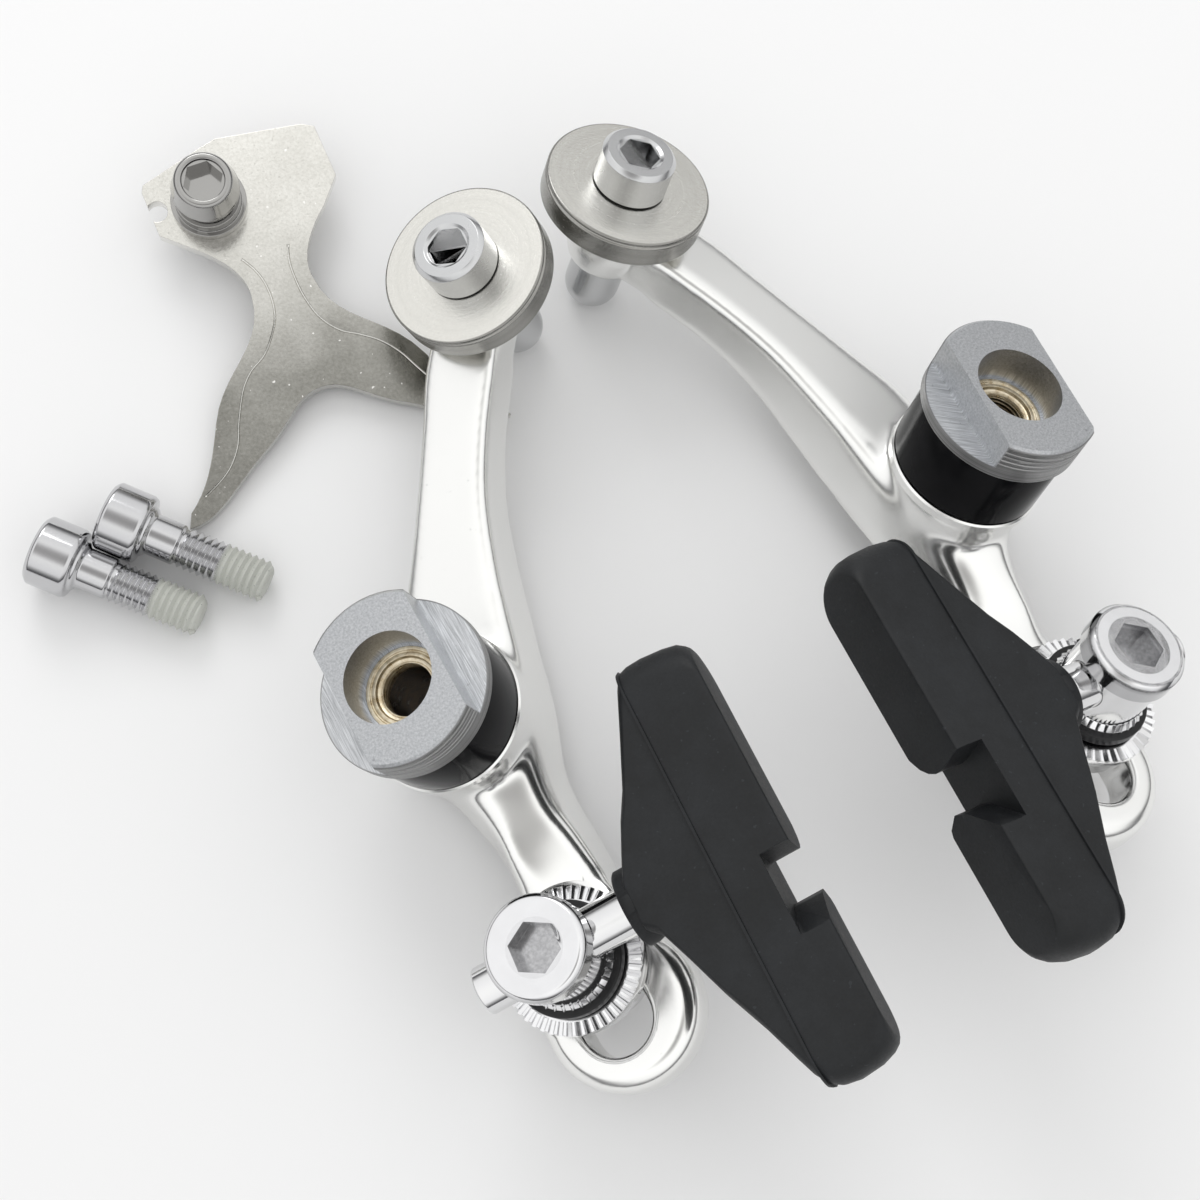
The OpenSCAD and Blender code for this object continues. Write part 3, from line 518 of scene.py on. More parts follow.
# Four corners at each station: front left, front right, back right, back left
legStations = [
    [(-5.2, 60.5, 3.5), (3.4, 61.5, 3.7), (3.8, 61.5, -3.8), (-5, 60.5, -3.8)],
    [(-7.7, 49, 2.0), (2.7, 49, 2.3), (3.3, 49, -5.5), (-7.2, 49, -5.5)],
    [(-7.8, 40, 0.9), (2.1, 40, 1.1), (2.7, 40, -6.8), (-7.2, 40, -6.6)],
    [(-8.1, 31, -0.4), (2.3, 31, -0.2), (3.0, 31, -9.2), (-7.4, 31, -8.8)],
    [(-8.6, 22, -1.8), (4.0, 22, -1.4), (4.9, 22, -11.8), (-8, 22, -10.4)],
    [(-9, 13, -3.2), (6.6, 13, -2.3), (7.8, 13, -13.6), (-8.6, 13, -10.8)],
    [(-7, 4, -4.4), (9.4, 5, -3.1), (10.8, 4.5, -14.2), (-7, 4, -10.8)],
    [(0.4, -8.6, -4.4), (10.2, -1.5, -4.0), (12.4, -1.5, -15.6), (-6, -6.5, -11)],
    [(4.7, -12.2, -5.7), (11, -6.4, -6.8), (13.6, -5.7, -16.4), (-1, -12.6, -12)],
    [(7.3, -16.2, -6.9), (12.8, -10.5, -8.5), (15.8, -9.6, -17), (3.8, -16.8, -13.8)],
    [(8.7, -19.9, -8.2), (15.7, -13.9, -9.7), (18.2, -13, -17.3), (6.6, -20.5, -15.4)],
    [(9.8, -23.2, -9.5), (20.6, -19.6, -10.5), (22, -19.2, -17.6), (8.6, -24, -17)],
    [(13, -31, -10.6), (26.5, -27, -10.6), (26.5, -27, -17.6), (12.6, -31, -17.6)],
]


def drum(name, levels, steps=96, matrix=None):
    bm = bmesh.new()
    addDrum(bm, 0, 0, levels, steps)
    return bmeshToMesh(bm, name, matrix)


def splineAt(a, b, c, d, t):
    return 0.5 * (2 * b + (c - a) * t + (2 * a - 5 * b + 4 * c - d) * t * t
                  + (3 * b - a - 3 * c + d) * t ** 3)


def cornerRing(corners, cut, steps=5, along=4):
    # Points round four corners, each corner an arc, each side split evenly
    arcs = []
    for i in range(4):
        a, b, d = corners[i - 1], corners[i], corners[(i + 1) % 4]
        start, end = b + (a - b) * cut, b + (d - b) * cut
        arcs.append([start * (1 - t) ** 2 + b * 2 * t * (1 - t) + end * t * t
                     for t in (j / steps for j in range(steps + 1))])
    ring = []
    for i in range(4):
        ring += arcs[i]
        far = arcs[(i + 1) % 4][0]
        ring += [arcs[i][-1].lerp(far, j / along) for j in range(1, along)]
    return ring


def addSkin(bm, rings):
    made = [[bm.verts.new(p) for p in ring] for ring in rings]
    for here, there in zip(made, made[1:]):
        for j in range(len(here)):
            k = (j + 1) % len(here)
            bm.faces.new((here[j], here[k], there[k], there[j]))
    bm.faces.new(list(reversed(made[0])))
    bm.faces.new(made[-1])


def addDrum(bm, x, y, levels, steps=96):
    # Closed drum from (radius, height) levels
    addSkin(bm, [[circlePoint(x, y, r, 2 * math.pi * i / steps, z) for i in range(steps)] for r, z in levels])


def stadium(radius, z, up):
    # Round-ended outline about the slot, reaching `up` towards the boss
    s = armShape
    turn = Matrix.Rotation(math.radians(s["slotTurn"]), 3, "Z")
    ends = ((s["slotDown"], -math.pi / 2), (-up, math.pi / 2))
    return [turn @ circlePoint(x, 0, radius, a + math.pi * i / 48, z) + Vector((*s["eye"], 0))
            for x, a in ends for i in range(49)]


def combine(base, cutter, operation):
    a, b = helper("combineBase", base), helper("combineTool", cutter)
    join = a.modifiers.new("join", "BOOLEAN")
    join.operation, join.object, join.solver = operation, b, "MANIFOLD"
    mesh = plain(a)
    bpy.data.objects.remove(b)
    return mesh


def nearness(value, zone):
    # One in the middle of the zone, falling to nothing at its reach
    return max(0.0, 1 - abs(value - zone[0]) / zone[1])


def armMesh():
    s = armShape
    bm = bmesh.new()
    rows = [[Vector(p) for p in row] for row in legStations]
    rings = []
    for i in range(len(rows) - 1):
        a, b, c, d = rows[max(i - 1, 0)], rows[i], rows[i + 1], rows[min(i + 2, len(rows) - 1)]
        for j in range(s["steps"] + (i == len(rows) - 2)):
            t = j / s["steps"]
            cut = s["cut"] + s["cutGrowth"] * min(1, max(0, (i + t - s["cutFrom"]) / s["cutOver"]))
            rings.append(cornerRing([splineAt(a[q], b[q], c[q], d[q], t) for q in range(4)], cut))
    addSkin(bm, rings)
    addDrum(bm, 0, s["length"], [(s["tipRadius"] - 1.4, s["tipBack"]),
                                 (s["tipRadius"] - 0.8, s["tipBack"] + 1.4),
                                 (s["tipRadius"], s["tipBack"] + 4), (s["tipRadius"], s["seat"] - 1.3),
                                 (s["tipRadius"] - 0.6, s["seat"] - 0.7)])
    addDrum(bm, 0, 0, [(s["bossRadius"] - 0.7, -s["bossDepth"]), (s["bossRadius"], -s["bossDepth"] + 0.7),
                       (s["bossRadius"], -0.6)])
    low, high = s["loopFront"] - s["loopDepth"], s["loopFront"]
    ex, ey = s["eye"]
    addDrum(bm, ex + s["loopEnd"][0], ey + s["loopEnd"][1],
            [(s["loopRadius"] - 1, low), (s["loopRadius"], low + 1), (s["loopRadius"], high - 2.0),
             (s["loopRadius"] - 0.5, high - 0.9), (s["loopRadius"] - 1.7, high)])
    side = [(ex + x, ey + y) for x, y in s["loopSide"]]
    middle = Vector((ex, ey + 1))
    levels = [(0.95, low), (1, low + 0.8), (1, high - 1.2), (0.93, high)]
    addSkin(bm, [[Vector((*(middle + (Vector(p) - middle) * k), z)) for p in side] for k, z in levels])
    bmesh.ops.triangulate(bm, faces=[f for f in bm.faces if len(f.verts) > 4])
    piece = helper("armHelper", bmeshToMesh(bm, "armRough"))
    cells = piece.modifiers.new("cells", "REMESH")
    cells.mode, cells.voxel_size, cells.adaptivity = "VOXEL", s["voxel"], 0.0
    mesh = plain(piece)
    # Fillets: strong smoothing only where the legs meet the boss and the loop
    piece = helper("armHelper", mesh)
    group = piece.vertex_groups.new(name="fillet")
    for v in mesh.vertices:
        x, y, z = v.co
        atBoss = nearness(math.hypot(x, y), s["bossZone"]) * (z > s["bossZone"][2])
        atLoop = nearness(y, s["loopZone"]) * (z > s["loopZone"][2])
        atTip = nearness(math.hypot(x, y - s["length"]), s["tipZone"]) * s["tipZone"][2]
        group.add([v.index], min(1.0, max(atBoss, atLoop, atTip)), "REPLACE")
    soft = piece.modifiers.new("soft", "SMOOTH")
    soft.factor, soft.iterations = 0.5, s["smoothing"]
    soft = piece.modifiers.new("fillet", "SMOOTH")
    soft.factor, soft.iterations, soft.vertex_group = 0.5, s["filletSmoothing"], "fillet"
    mesh = plain(piece)
    # Machined parts: seat, rim, bores, slot
    bm = bmesh.new()
    addDrum(bm, 0, s["length"], [(s["tipRadius"] - 2, 0), (s["tipRadius"] - 2.2, s["seat"])])
    addDrum(bm, 0, 0, [(s["bossRadius"] - 1, -2.4), (s["rimRadius"] - 0.25, -s["rimHeight"] - 0.15),
                       (s["rimRadius"], -s["rimHeight"] + 0.1), (s["rimRadius"], -0.25),
                       (s["rimRadius"] - 0.25, 0)])
    mesh = combine(mesh, bmeshToMesh(bm, "armAdd"), "UNION")
    bm = bmesh.new()
    addDrum(bm, 0, 0, [(s["bore"] + 0.4, -30), (s["bore"] + 0.4, -s["bossDepth"] - 0.1),
                       (s["bore"], -s["bossDepth"] + 0.3), (s["bore"], 0.5)])
    addDrum(bm, 0, s["length"], [(s["boltHole"], -30), (s["boltHole"], 30)])
    mesh = combine(mesh, bmeshToMesh(bm, "armHoles"), "DIFFERENCE")
    bm = bmesh.new()
    r, top = s["slotRadius"], s["loopFront"]
    # The flat under the seat washer ends before the slot does
    land = stadium(s["landRadius"], 0, s["landUp"])
    addSkin(bm, [[p + Vector((0, 0, z)) for p in land] for z in (top + 0.08, 20)])
    mesh = combine(mesh, bmeshToMesh(bm, "armLand"), "DIFFERENCE")
    bm = bmesh.new()
    profile = [(r + 0.5, -20), (r + 0.5, low - 0.01), (r, low + 0.5), (r, top - 0.75), (r + 0.12, top - 0.38),
               (r + 0.42, top - 0.1), (r + 0.95, top + 0.02), (r + 2.0, top + 0.3)]
    addSkin(bm, [stadium(radius, z, s["slotUp"]) for radius, z in profile])
    return combine(mesh, bmeshToMesh(bm, "armSlot"), "DIFFERENCE")


def makeArms():
    source = armMesh()
    for side, matrix in armFrames.items():
        bm = bmesh.new()
        bm.from_mesh(source)
        mesh = shaded(bmeshToMesh(bm, side + "Arm", matrix), 40)
        keep(side + "ArmForging", mesh, finishes[side + "_arm"], side + "_arm")
    print("arms made, faces:", len(source.polygons))


makeArms()

# Machined pieces that keep their CAD shape and get fine broken edges

broken = {
    "roller": (0.12, "roller", "roller_nickel"), "roller_bolt": (0.18, "zinc_steel", "zinc_steel"),
    "roller_nut": (0.2, "zinc_steel", "zinc_steel"),
    "spring": (0.0, "spring_steel", "spring_steel"),
    "seat_washer": (0.15, "chrome_steel", "chrome_steel"), "eye_nut": (0.4, "chrome_steel", "chrome_steel"),
    "rubber_ring": (0.25, "ring_rubber", "ring_rubber"),
    "clamp_sleeve": (0.15, "chrome_steel", "chrome_steel"),
    "pad_post": (0.35, "chrome_steel", "chrome_steel"),
}
single = {
    "cable_clamp_washers": (0.12, "clamp_steel", "chrome_steel"),
    "cable_clamp_nut": (0.2, "zinc_steel", "zinc_steel"),
}


def makeBroken():
    jobs = [(node, *facts) for node, facts in single.items()]
    for side in armFrames:
        for part, (width, finish, slot) in broken.items():
            own = side + "_" + finish
            jobs.append((side + "_" + part, width, own if own in finishes else finish, slot))
    for node, width, finish, slot in jobs:
        if width:
            words = node.split("_")
            name = words[0] + "".join(w.capitalize() for w in words[1:])
            keep(name, softened(node, width), finishes[finish], node)
        else:
            piece = nodes[node]
            piece.data.materials.clear()
            piece.data.materials.append(finishes[finish])
    print("machined pieces finished:", len(jobs))


makeBroken()

# Geometry trees for what repeats or follows a path


class Recipe(Net):
    # A geometry tree with named inputs
    def __init__(self, name, inputs):
        super().__init__(bpy.data.node_groups.new(name, "GeometryNodeTree"))
        face = self.tree.interface
        face.new_socket("Geometry", in_out="INPUT", socket_type="NodeSocketGeometry")
        for key, value in inputs.items():
            kind = "NodeSocketInt" if isinstance(value, int) else "NodeSocketFloat"
            face.new_socket(key, in_out="INPUT", socket_type=kind).default_value = value
        face.new_socket("Geometry", in_out="OUTPUT", socket_type="NodeSocketGeometry")
        self.given = self.node("NodeGroupInput").output.node.outputs

    def __getitem__(self, name):
        return Link(self, self.given[name])

    def endWith(self, geometry, finish="chrome_steel"):
        real = self.node("GeometryNodeRealizeInstances", None, {0: geometry})
        painted = self.node("GeometryNodeSetMaterial", None, {0: real, "Material": finishes[finish]})
        self.node("NodeGroupOutput", None, {0: painted})
        return self


def grown(recipe, name, values, start=None):
    # The recipe run on a start mesh or path, as a plain mesh
    piece = helper(name, start or bpy.data.meshes.new(name + "Start"))
    maker = piece.modifiers.new("recipe", "NODES")
    maker.node_group = recipe.tree
    for item in recipe.tree.interface.items_tree:
        if item.in_out == "INPUT" and item.name in values:
            maker[item.identifier] = values[item.name]
    return plain(piece)


def toothRecipe():
    # Radial ridges round a circle, leaning outward by a slope
    r = Recipe("toothRing", {"Teeth": 48, "Radius": 8.6, "Long": 2.0, "Wide": 0.6, "Height": 0.0,
                             "Slope": 0.0})
    angle = r.node("GeometryNodeInputIndex") / r["Teeth"] * (2 * math.pi)
    spot = r.vector(r.maths("COSINE", angle) * r["Radius"], r.maths("SINE", angle) * r["Radius"], r["Height"])
    points = r.node("GeometryNodePoints", None, {"Count": r["Teeth"], "Position": spot})
    ridge = r.node("GeometryNodeMeshCube", None, {"Size": r.vector(r["Long"], r["Wide"], r["Wide"])})
    ridge = r.node("GeometryNodeTransform", None, {0: ridge, "Rotation": (math.pi / 4, 0, 0)})
    ridge = r.node("GeometryNodeTransform", None, {0: ridge, "Rotation": r.vector(0.0, r["Slope"], 0.0)})
    ring = r.node("GeometryNodeInstanceOnPoints", None, {"Points": points, "Instance": ridge,
                  "Rotation": r.vector(0.0, 0.0, angle)})
    return r.endWith(ring)


def coilRecipe():
    # Screw thread as a wound ridge
    r = Recipe("threadCoil", {"Radius": 2.6, "Pitch": 1.0, "Turns": 12.0, "Ridge": 0.37, "Base": 0.0})
    line = r.node("GeometryNodeCurveSpiral", None, {"Resolution": 32, "Rotations": r["Turns"],
                  "Start Radius": r["Radius"], "End Radius": r["Radius"],
                  "Height": r["Turns"] * r["Pitch"]})
    profile = r.node("GeometryNodeCurvePrimitiveCircle", None, {"Resolution": 4, "Radius": r["Ridge"]})
    line = r.node("GeometryNodeSetCurveNormal", {"mode": "Z_UP"}, {0: line})
    coil = r.node("GeometryNodeCurveToMesh", None, {0: line, 1: profile, "Fill Caps": True})
    coil = r.node("GeometryNodeTransform", None, {0: coil, "Translation": r.vector(0.0, 0.0, r["Base"])})
    return r.endWith(coil)


def hoopRecipe():
    # Stack of thin hoops along Z
    r = Recipe("hoopStack", {"Hoops": 5, "Radius": 11.5, "Step": 0.8, "Base": 0.0, "Wire": 0.15})
    height = r.node("GeometryNodeInputIndex") * r["Step"] + r["Base"]
    points = r.node("GeometryNodePoints", None, {"Count": r["Hoops"], "Position": r.vector(0.0, 0.0, height)})
    hoop = r.node("GeometryNodeCurvePrimitiveCircle", None, {"Resolution": 96, "Radius": r["Radius"]})
    wire = r.node("GeometryNodeCurvePrimitiveCircle", None, {"Resolution": 6, "Radius": r["Wire"]})
    hoop = r.node("GeometryNodeCurveToMesh", None, {0: hoop, 1: wire})
    stack = r.node("GeometryNodeInstanceOnPoints", None, {"Points": points, "Instance": hoop})
    return r.endWith(stack)


def lineRecipe():
    # Round wire along the start mesh's edges, smoothed
    r = Recipe("wireLine", {"Wire": 0.2})
    line = r.node("GeometryNodeMeshToCurve", None, {0: r["Geometry"]})
    line = r.node("GeometryNodeCurveSplineType", {"spline_type": "CATMULL_ROM"}, {0: line})
    line = r.node("GeometryNodeResampleCurve", None, {0: line, "Count": 90})
    wire = r.node("GeometryNodeCurvePrimitiveCircle", None, {"Resolution": 8, "Radius": r["Wire"]})
    wire = r.node("GeometryNodeCurveToMesh", None, {0: line, 1: wire, "Fill Caps": True})
    return r.endWith(wire, "plate_nickel")


recipes = {"teeth": toothRecipe(), "coil": coilRecipe(), "hoops": hoopRecipe(), "line": lineRecipe()}


def joined(meshes, matrix=None):
    # Several closed shells as one mesh, moved by a matrix, faces outward
    bm = bmesh.new()
    for mesh in meshes:
        bm.from_mesh(mesh)
    return bmeshToMesh(bm, meshes[0].name, matrix)


def lathed(profile, soft=0.15, steps=96):
    return bmeshToMesh(lathe(rounded(profile, soft), steps), "turned")


# Clamp rings with their serrations

ringShape = {"shankHole": 3.2, "bigRadius": 9.5, "bigBase": -7.2, "bigDeep": 2.1,
             "smallRadius": 6.7, "smallTop": 6.1, "smallBase": -3.4, "smallDeep": 1.3,
             "bigTeeth": {"Teeth": 46, "Radius": 8.55, "Long": 1.75, "Wide": 0.58, "Slope": 0.1},
             "smallTeeth": {"Teeth": 34, "Radius": 6.2, "Long": 1.0, "Wide": 0.34, "Slope": 1.05}}


def makeClampRings():
    s = ringShape
    hole, base, top = s["shankHole"], s["bigBase"], s["bigBase"] + s["bigDeep"]
    big = lathed([(hole, base), (s["bigRadius"] - 0.15, base), (s["bigRadius"] - 0.15, top - 0.55),
                  (7.7, top - 0.3), (hole, top - 0.3)], 0.1)
    bigTeeth = grown(recipes["teeth"], "bigTeeth", {**s["bigTeeth"], "Height": top - 0.41})
    base, top = s["smallBase"], s["smallBase"] + s["smallDeep"]
    small = lathed([(hole, base), (s["smallRadius"] - 0.2, base), (s["smallRadius"] - 0.2, base + 0.25),
                    (s["smallTop"] - 0.3, top - 0.05), (hole, top - 0.05)], 0.08)
    smallTeeth = grown(recipes["teeth"], "smallTeeth", {**s["smallTeeth"], "Height": base + 0.72})
    for side, at in eyeFrames.items():
        for name, node, parts in (("SerratedRing", "_serrated_ring", [big, bigTeeth]),
                                  ("ToothedWasher", "_toothed_washer", [small, smallTeeth])):
            node = side + node
            keep(side + name, shaded(joined(parts, at), 30), finishes["ring_steel"], node)
    print("clamp rings made, teeth:", s["bigTeeth"]["Teeth"] + s["smallTeeth"]["Teeth"])


makeClampRings()

# Eye bolts: round head edge and a countersunk hexagon

eyeHead = {"radius": 6.6, "top": 8.1, "edge": 0.9, "sink": 4.3, "sinkEnd": 3.65, "sinkDeep": 0.6}


def makeEyeBolts():
    s = eyeHead
    r, top, edge = s["radius"], s["top"], s["edge"]
    arc = [(r - edge + edge * math.cos(math.radians(a)), top - edge + edge * math.sin(math.radians(a)))
           for a in range(0, 91, 10)]
    trim = bmeshToMesh(lathe([(r + 0.01, top - edge - 0.01)] + arc + [(r - edge, top + 0.4),
                       (r + 0.6, top + 0.4), (r + 0.6, top - edge - 0.01)]), "eyeTrim")
    sink = drum("eyeSink", [(s["sinkEnd"], top - s["sinkDeep"]), (s["sink"], top),
                            (s["sink"] + 0.3, top + 0.3)])
    for side, at in eyeFrames.items():
        node = side + "_eye_bolt"
        mesh = combine(softened(node, 0.12), joined([trim], at), "DIFFERENCE")
        mesh = combine(mesh, joined([sink], at), "DIFFERENCE")
        keep(side + "EyeBolt", evened(mesh, 38), finishes[side + "_eye_chrome"], node)
    print("eye bolts made")


makeEyeBolts()

# Bronze bushes with turned steps round the hole

bushShape = {"radius": 5.58, "bore": 4.05, "hole": 3.5, "back": -11.5, "front": 11.28, "wall": 8.3,
             "beads": {"Hoops": 4, "Radius": 3.56, "Step": 0.62, "Base": 8.7, "Wire": 0.14}}
coverShape = {"radius": 10.8, "inside": 10.0, "hole": 5.95, "back": 0.42, "front": 10.75, "lid": 0.75}


def makeBushes():
    s, c = bushShape, coverShape
    front, under = s["front"], c["front"] - c["lid"]
    body = lathed([(s["bore"], s["back"]), (s["radius"], s["back"]), (s["radius"], front), (5.15, front),
                   (5.0, front - 0.22), (4.85, front - 0.22), (4.72, front - 0.02), (4.3, front - 0.02),
                   (4.16, front - 0.5), (3.86, front - 0.62), (3.72, front - 0.62), (s["hole"], front - 1.1),
                   (s["hole"], s["wall"]), (s["bore"], s["wall"])], 0.06)
    beads = grown(recipes["hoops"], "bushBead", s["beads"])
    for side, matrix in armFrames.items():
        node = side + "_pivot_bush"
        mesh = shaded(joined([body, beads], matrix), 40)
        keep(side + "PivotBush", mesh, finishes[side + "_bush"], node)
        node = side + "_spring_cover"
        cover = lathed([(c["inside"], c["back"]), (c["radius"], c["back"]), (c["radius"], c["front"]),
                        (c["hole"], c["front"]), (c["hole"], under), (c["inside"], under)], 0.12, 160)
        keep(side + "SpringCover", shaded(joined([cover], matrix), 40), finishes["cover_black"], node)
    print("bushes and covers made")


makeBushes()

# Pivot caps: CAD shape with turned grooves in the round sides

capGrooves = {"Hoops": 4, "Radius": 11.56, "Step": 0.78, "Base": 13.3, "Wire": 0.17}


def makeCaps():
    for side, matrix in armFrames.items():
        node = side + "_pivot_cap"
        grooves = joined([grown(recipes["hoops"], "capGroove", capGrooves)], matrix)
        mesh = combine(softened(node, 0.25), grooves, "DIFFERENCE")
        keep(side + "PivotCap", evened(mesh, 40), finishes[side + "_cap"], node)
    print("pivot caps made")


makeCaps()

# Moulded rubber pads with parting lip, notch and boss rim

padShape = {
    "post": (*layout["eye"], 1.4), "turn": {"left": 30.6, "right": 28.9}, "tilt": {"left": 5.4, "right": 5.0},
    "gap": {"left": 12.5, "right": 11.3}, "postHole": 3.15, "notchFloor": 16.7, "edge": 0.35,
    "rim": ((4.5, -1.2), (4.8, -0.9), (4.8, 0.25), (4.6, 0.9), (4.4, 1.8)), "rimStretch": (0.93, 1.05, 1, 1),
    # Depth from the boss, low end, high end, half height, corner radius
    "rings": (
        (0.2, -3.6, 2.6, 4.3, 1.0), (0.5, -4.0, 3.4, 4.5, 1.2), (1.8, -5.2, 6.2, 4.6, 1.4),
        (3.4, -9.4, 9.6, 4.6, 1.6), (5.3, -14.8, 12.9, 4.65, 1.9), (7.8, -20.8, 18.6, 4.7, 2.4),
        (9.4, -25.4, 22.4, 4.7, 2.8), (10.2, -27.6, 24.4, 4.7, 3.2), (10.7, -28.4, 25.3, 4.72, 3.4),
        (10.82, -28.5, 25.5, 4.74, 3.4),
        (10.86, -29.4, 26.2, 5.22, 3.9), (11.2, -29.6, 26.4, 5.22, 3.9), (11.26, -29.2, 26.1, 4.98, 3.7),
        (12.4, -29.9, 26.5, 5.0, 3.9), (14.4, -30.2, 26.6, 5.04, 4.1), (17.4, -29.9, 26.3, 5.08, 4.3),
        (19.2, -29.3, 25.9, 5.1, 4.5), (20.1, -28.7, 25.2, 5.06, 4.6), (20.45, -28.2, 24.8, 4.95, 4.6),
        (20.6, -27.8, 24.4, 4.7, 4.4)),
    "notch": ((-2.3, 7), (-3.2, 1.2), (-3.3, 0), (-3.2, -1.2), (-2.6, -2.5), (-1.5, -3.7), (0.1, -4.6),
              (2.2, -5.3), (2.2, -7), (-12.6, -7), (-12.4, -5.6), (-9.8, -4.3), (-8.6, -2.2), (-9.3, 0),
              (-13.2, 5.2), (-13.4, 7)),
}


def padRing(w, low, high, half, radius):
    # Rounded outline across the pad at one depth
    corners = ((high - radius, half - radius, 0), (low + radius, half - radius, 90),
               (low + radius, radius - half, 180), (high - radius, radius - half, 270))
    ring = []
    for u, v, start in corners:
        ring += [Vector((w, u + radius * math.cos(math.radians(start + i * 9)),
                         v + radius * math.sin(math.radians(start + i * 9)))) for i in range(11)]
    return ring


def makePads():
    s = padShape
    bm = bmesh.new()
    addSkin(bm, [padRing(*ring) for ring in s["rings"]])
    bmesh.ops.triangulate(bm, faces=[f for f in bm.faces if len(f.verts) > 4])
    body = bmeshToMesh(bm, "padBody")
    turn = Matrix.Rotation(math.radians(90), 4, "Y")
    rim = drum("padRim", s["rim"], matrix=turn @ Matrix.Diagonal(s["rimStretch"]))
    body = combine(body, rim, "UNION")
    bm = bmesh.new()
    addSkin(bm, [[Vector((w, u, v)) for u, v in s["notch"]] for w in (s["notchFloor"], 24)])
    body = combine(body, bmeshToMesh(bm, "padNotch"), "DIFFERENCE")
    body = combine(body, drum("padHole", [(s["postHole"], -3), (s["postHole"], 8)], 64, turn), "DIFFERENCE")
    piece = helper("padHelper", body)
    bevel = piece.modifiers.new("bevel", "BEVEL")
    bevel.width, bevel.segments, bevel.limit_method = s["edge"], 2, "ANGLE"
    bevel.angle_limit = math.radians(55)
    body = plain(piece)
    for side, matrix in armFrames.items():
        at = (matrix @ Matrix.Translation(s["post"]) @ Matrix.Rotation(math.radians(s["turn"][side]), 4, "Z")
              @ Matrix.Rotation(math.radians(s["tilt"][side]), 4, "X")
              @ Matrix.Translation((s["gap"][side], 0, 0)))
        mesh = evened(joined([body], at), 45)
        keep(side + "Pad", mesh, finishes["pad_rubber"], side + "_pad")
    print("pads made, faces:", len(body.polygons))


makePads()

# Cam plate with its two pressed lines

plateShape = {"wire": 0.24, "depth": 0.07, "lines": (
    ((-5, 34), (-3.8, 31.9), (-3.1, 29.6), (-3, 26.9), (-3.5, 24.3), (-4.8, 22), (-6.8, 19.6), (-9.2, 18.1),
     (-10.9, 16.4), (-12.1, 14.5), (-13.7, 11.2), (-14.8, 8.5), (-16.6, 6.1), (-18.7, 4.5), (-21.7, 3)),
    ((2, 33.9), (1.3, 31.4), (1.2, 28.6), (1.5, 25.6), (2.5, 22.2), (4.5, 19.5), (7, 17.9), (9.4, 16.1),
     (11.5, 13.5), (13.1, 10.4), (14.6, 7.9), (17.2, 5.4), (20.6, 3.6)))}


def makePlate():
    s = plateShape
    mesh = softened("cam_plate", 0.35, 3)
    for points in s["lines"]:
        path = bpy.data.meshes.new("platePath")
        path.from_pydata([(x, y, s["depth"]) for x, y in points],
                         [(i, i + 1) for i in range(len(points) - 1)], [])
        wire = grown(recipes["line"], "plateLine", {"Wire": s["wire"]}, path)
        mesh = combine(mesh, joined([wire], plateFrame()), "DIFFERENCE")
    keep("camPlate", evened(mesh, 40), finishes["plate_nickel"], "cam_plate")
    print("cam plate made")


makePlate()

# Barrel-headed clamp bolt on the plate

clampShape = {"at": (-6.45, 43.3), "base": 3.25, "high": 6.5, "foot": 3.9, "belly": 4.85, "lip": 3.75,
              "hexagon": 5, "shank": 2.98, "down": -7.4}


def makeClampBolt():
    s = clampShape
    low, high = s["base"], s["base"] + s["high"]
    body = lathed([(0.001, s["down"]), (s["shank"], s["down"]), (s["shank"], low), (s["foot"], low),
                   (s["foot"] + 0.25, low + 0.5), (s["foot"] + 0.1, low + 0.75), (s["belly"], low + 2.9),
                   (s["belly"] - 0.12, low + 3.2), (s["lip"] + 0.35, high - 0.3), (s["lip"], high),
                   (3.1, high), (2.9, high - 0.4), (2.9, high - 3.0), (0.001, high - 3.0)], 0.12)
    corner = s["hexagon"] / math.sqrt(3)
    core = combine(drum("clampCore", [(3.0, high - 3.1), (3.0, high - 0.35)], 64),
                   drum("clampCell", [(corner, high - 2.9), (corner, high + 1)], 6), "DIFFERENCE")
    mesh = combine(body, core, "UNION")
    at = plateFrame() @ Matrix.Translation((*s["at"], 0))
    keep("clampBolt", evened(joined([mesh], at), 35), finishes["clamp_steel"], "cable_clamp_bolt")
    print("clamp bolt made")


makeClampBolt()

# Mounting bolts with wound threads and a pale thread-lock band

boltShape = {"lift": 5.6826, "tilt": 6.569, "head": 5.0, "headHigh": 6.0, "shank": 2.95, "plain": 5.2,
             "long": 18.4, "core": 2.5, "pitch": 1.0, "ridge": 0.48, "lockFrom": 17.4,
             "hexagon": 5, "socketEnd": 3.1}


def boltFinish(name, matrix):
    look = {"deep": (0.50, 0.50, 0.51), "clear": (0.62, 0.62, 0.63), "paste": (0.52, 0.53, 0.49),
            "gap": (0.10, 0.11, 0.11)}
    f = Finish(name)
    spot = f.spot(matrix)
    z = f.apart(spot)[2]
    grain = f.noise(spot, 6, 4, 0.7)
    lock = f.spread(z + grain * 0.9, boltShape["lockFrom"] + 0.1, boltShape["lockFrom"] + 0.6)
    paste = f.mix(f.spread(f.noise(spot, 3.5, 2), 0.68, 0.74), look["paste"], look["gap"])
    f.set("Base Color", f.mix(lock, f.mix(grain, look["deep"], look["clear"]), paste))
    f.set("Metallic", 1 - lock * 0.9)
    f.set("Roughness", f.spread(grain, 0.3, 0.7, 0.06, 0.14) + lock * 0.45)
    f.bump(grain * lock, 0.5, 0.0001)
    return f.material


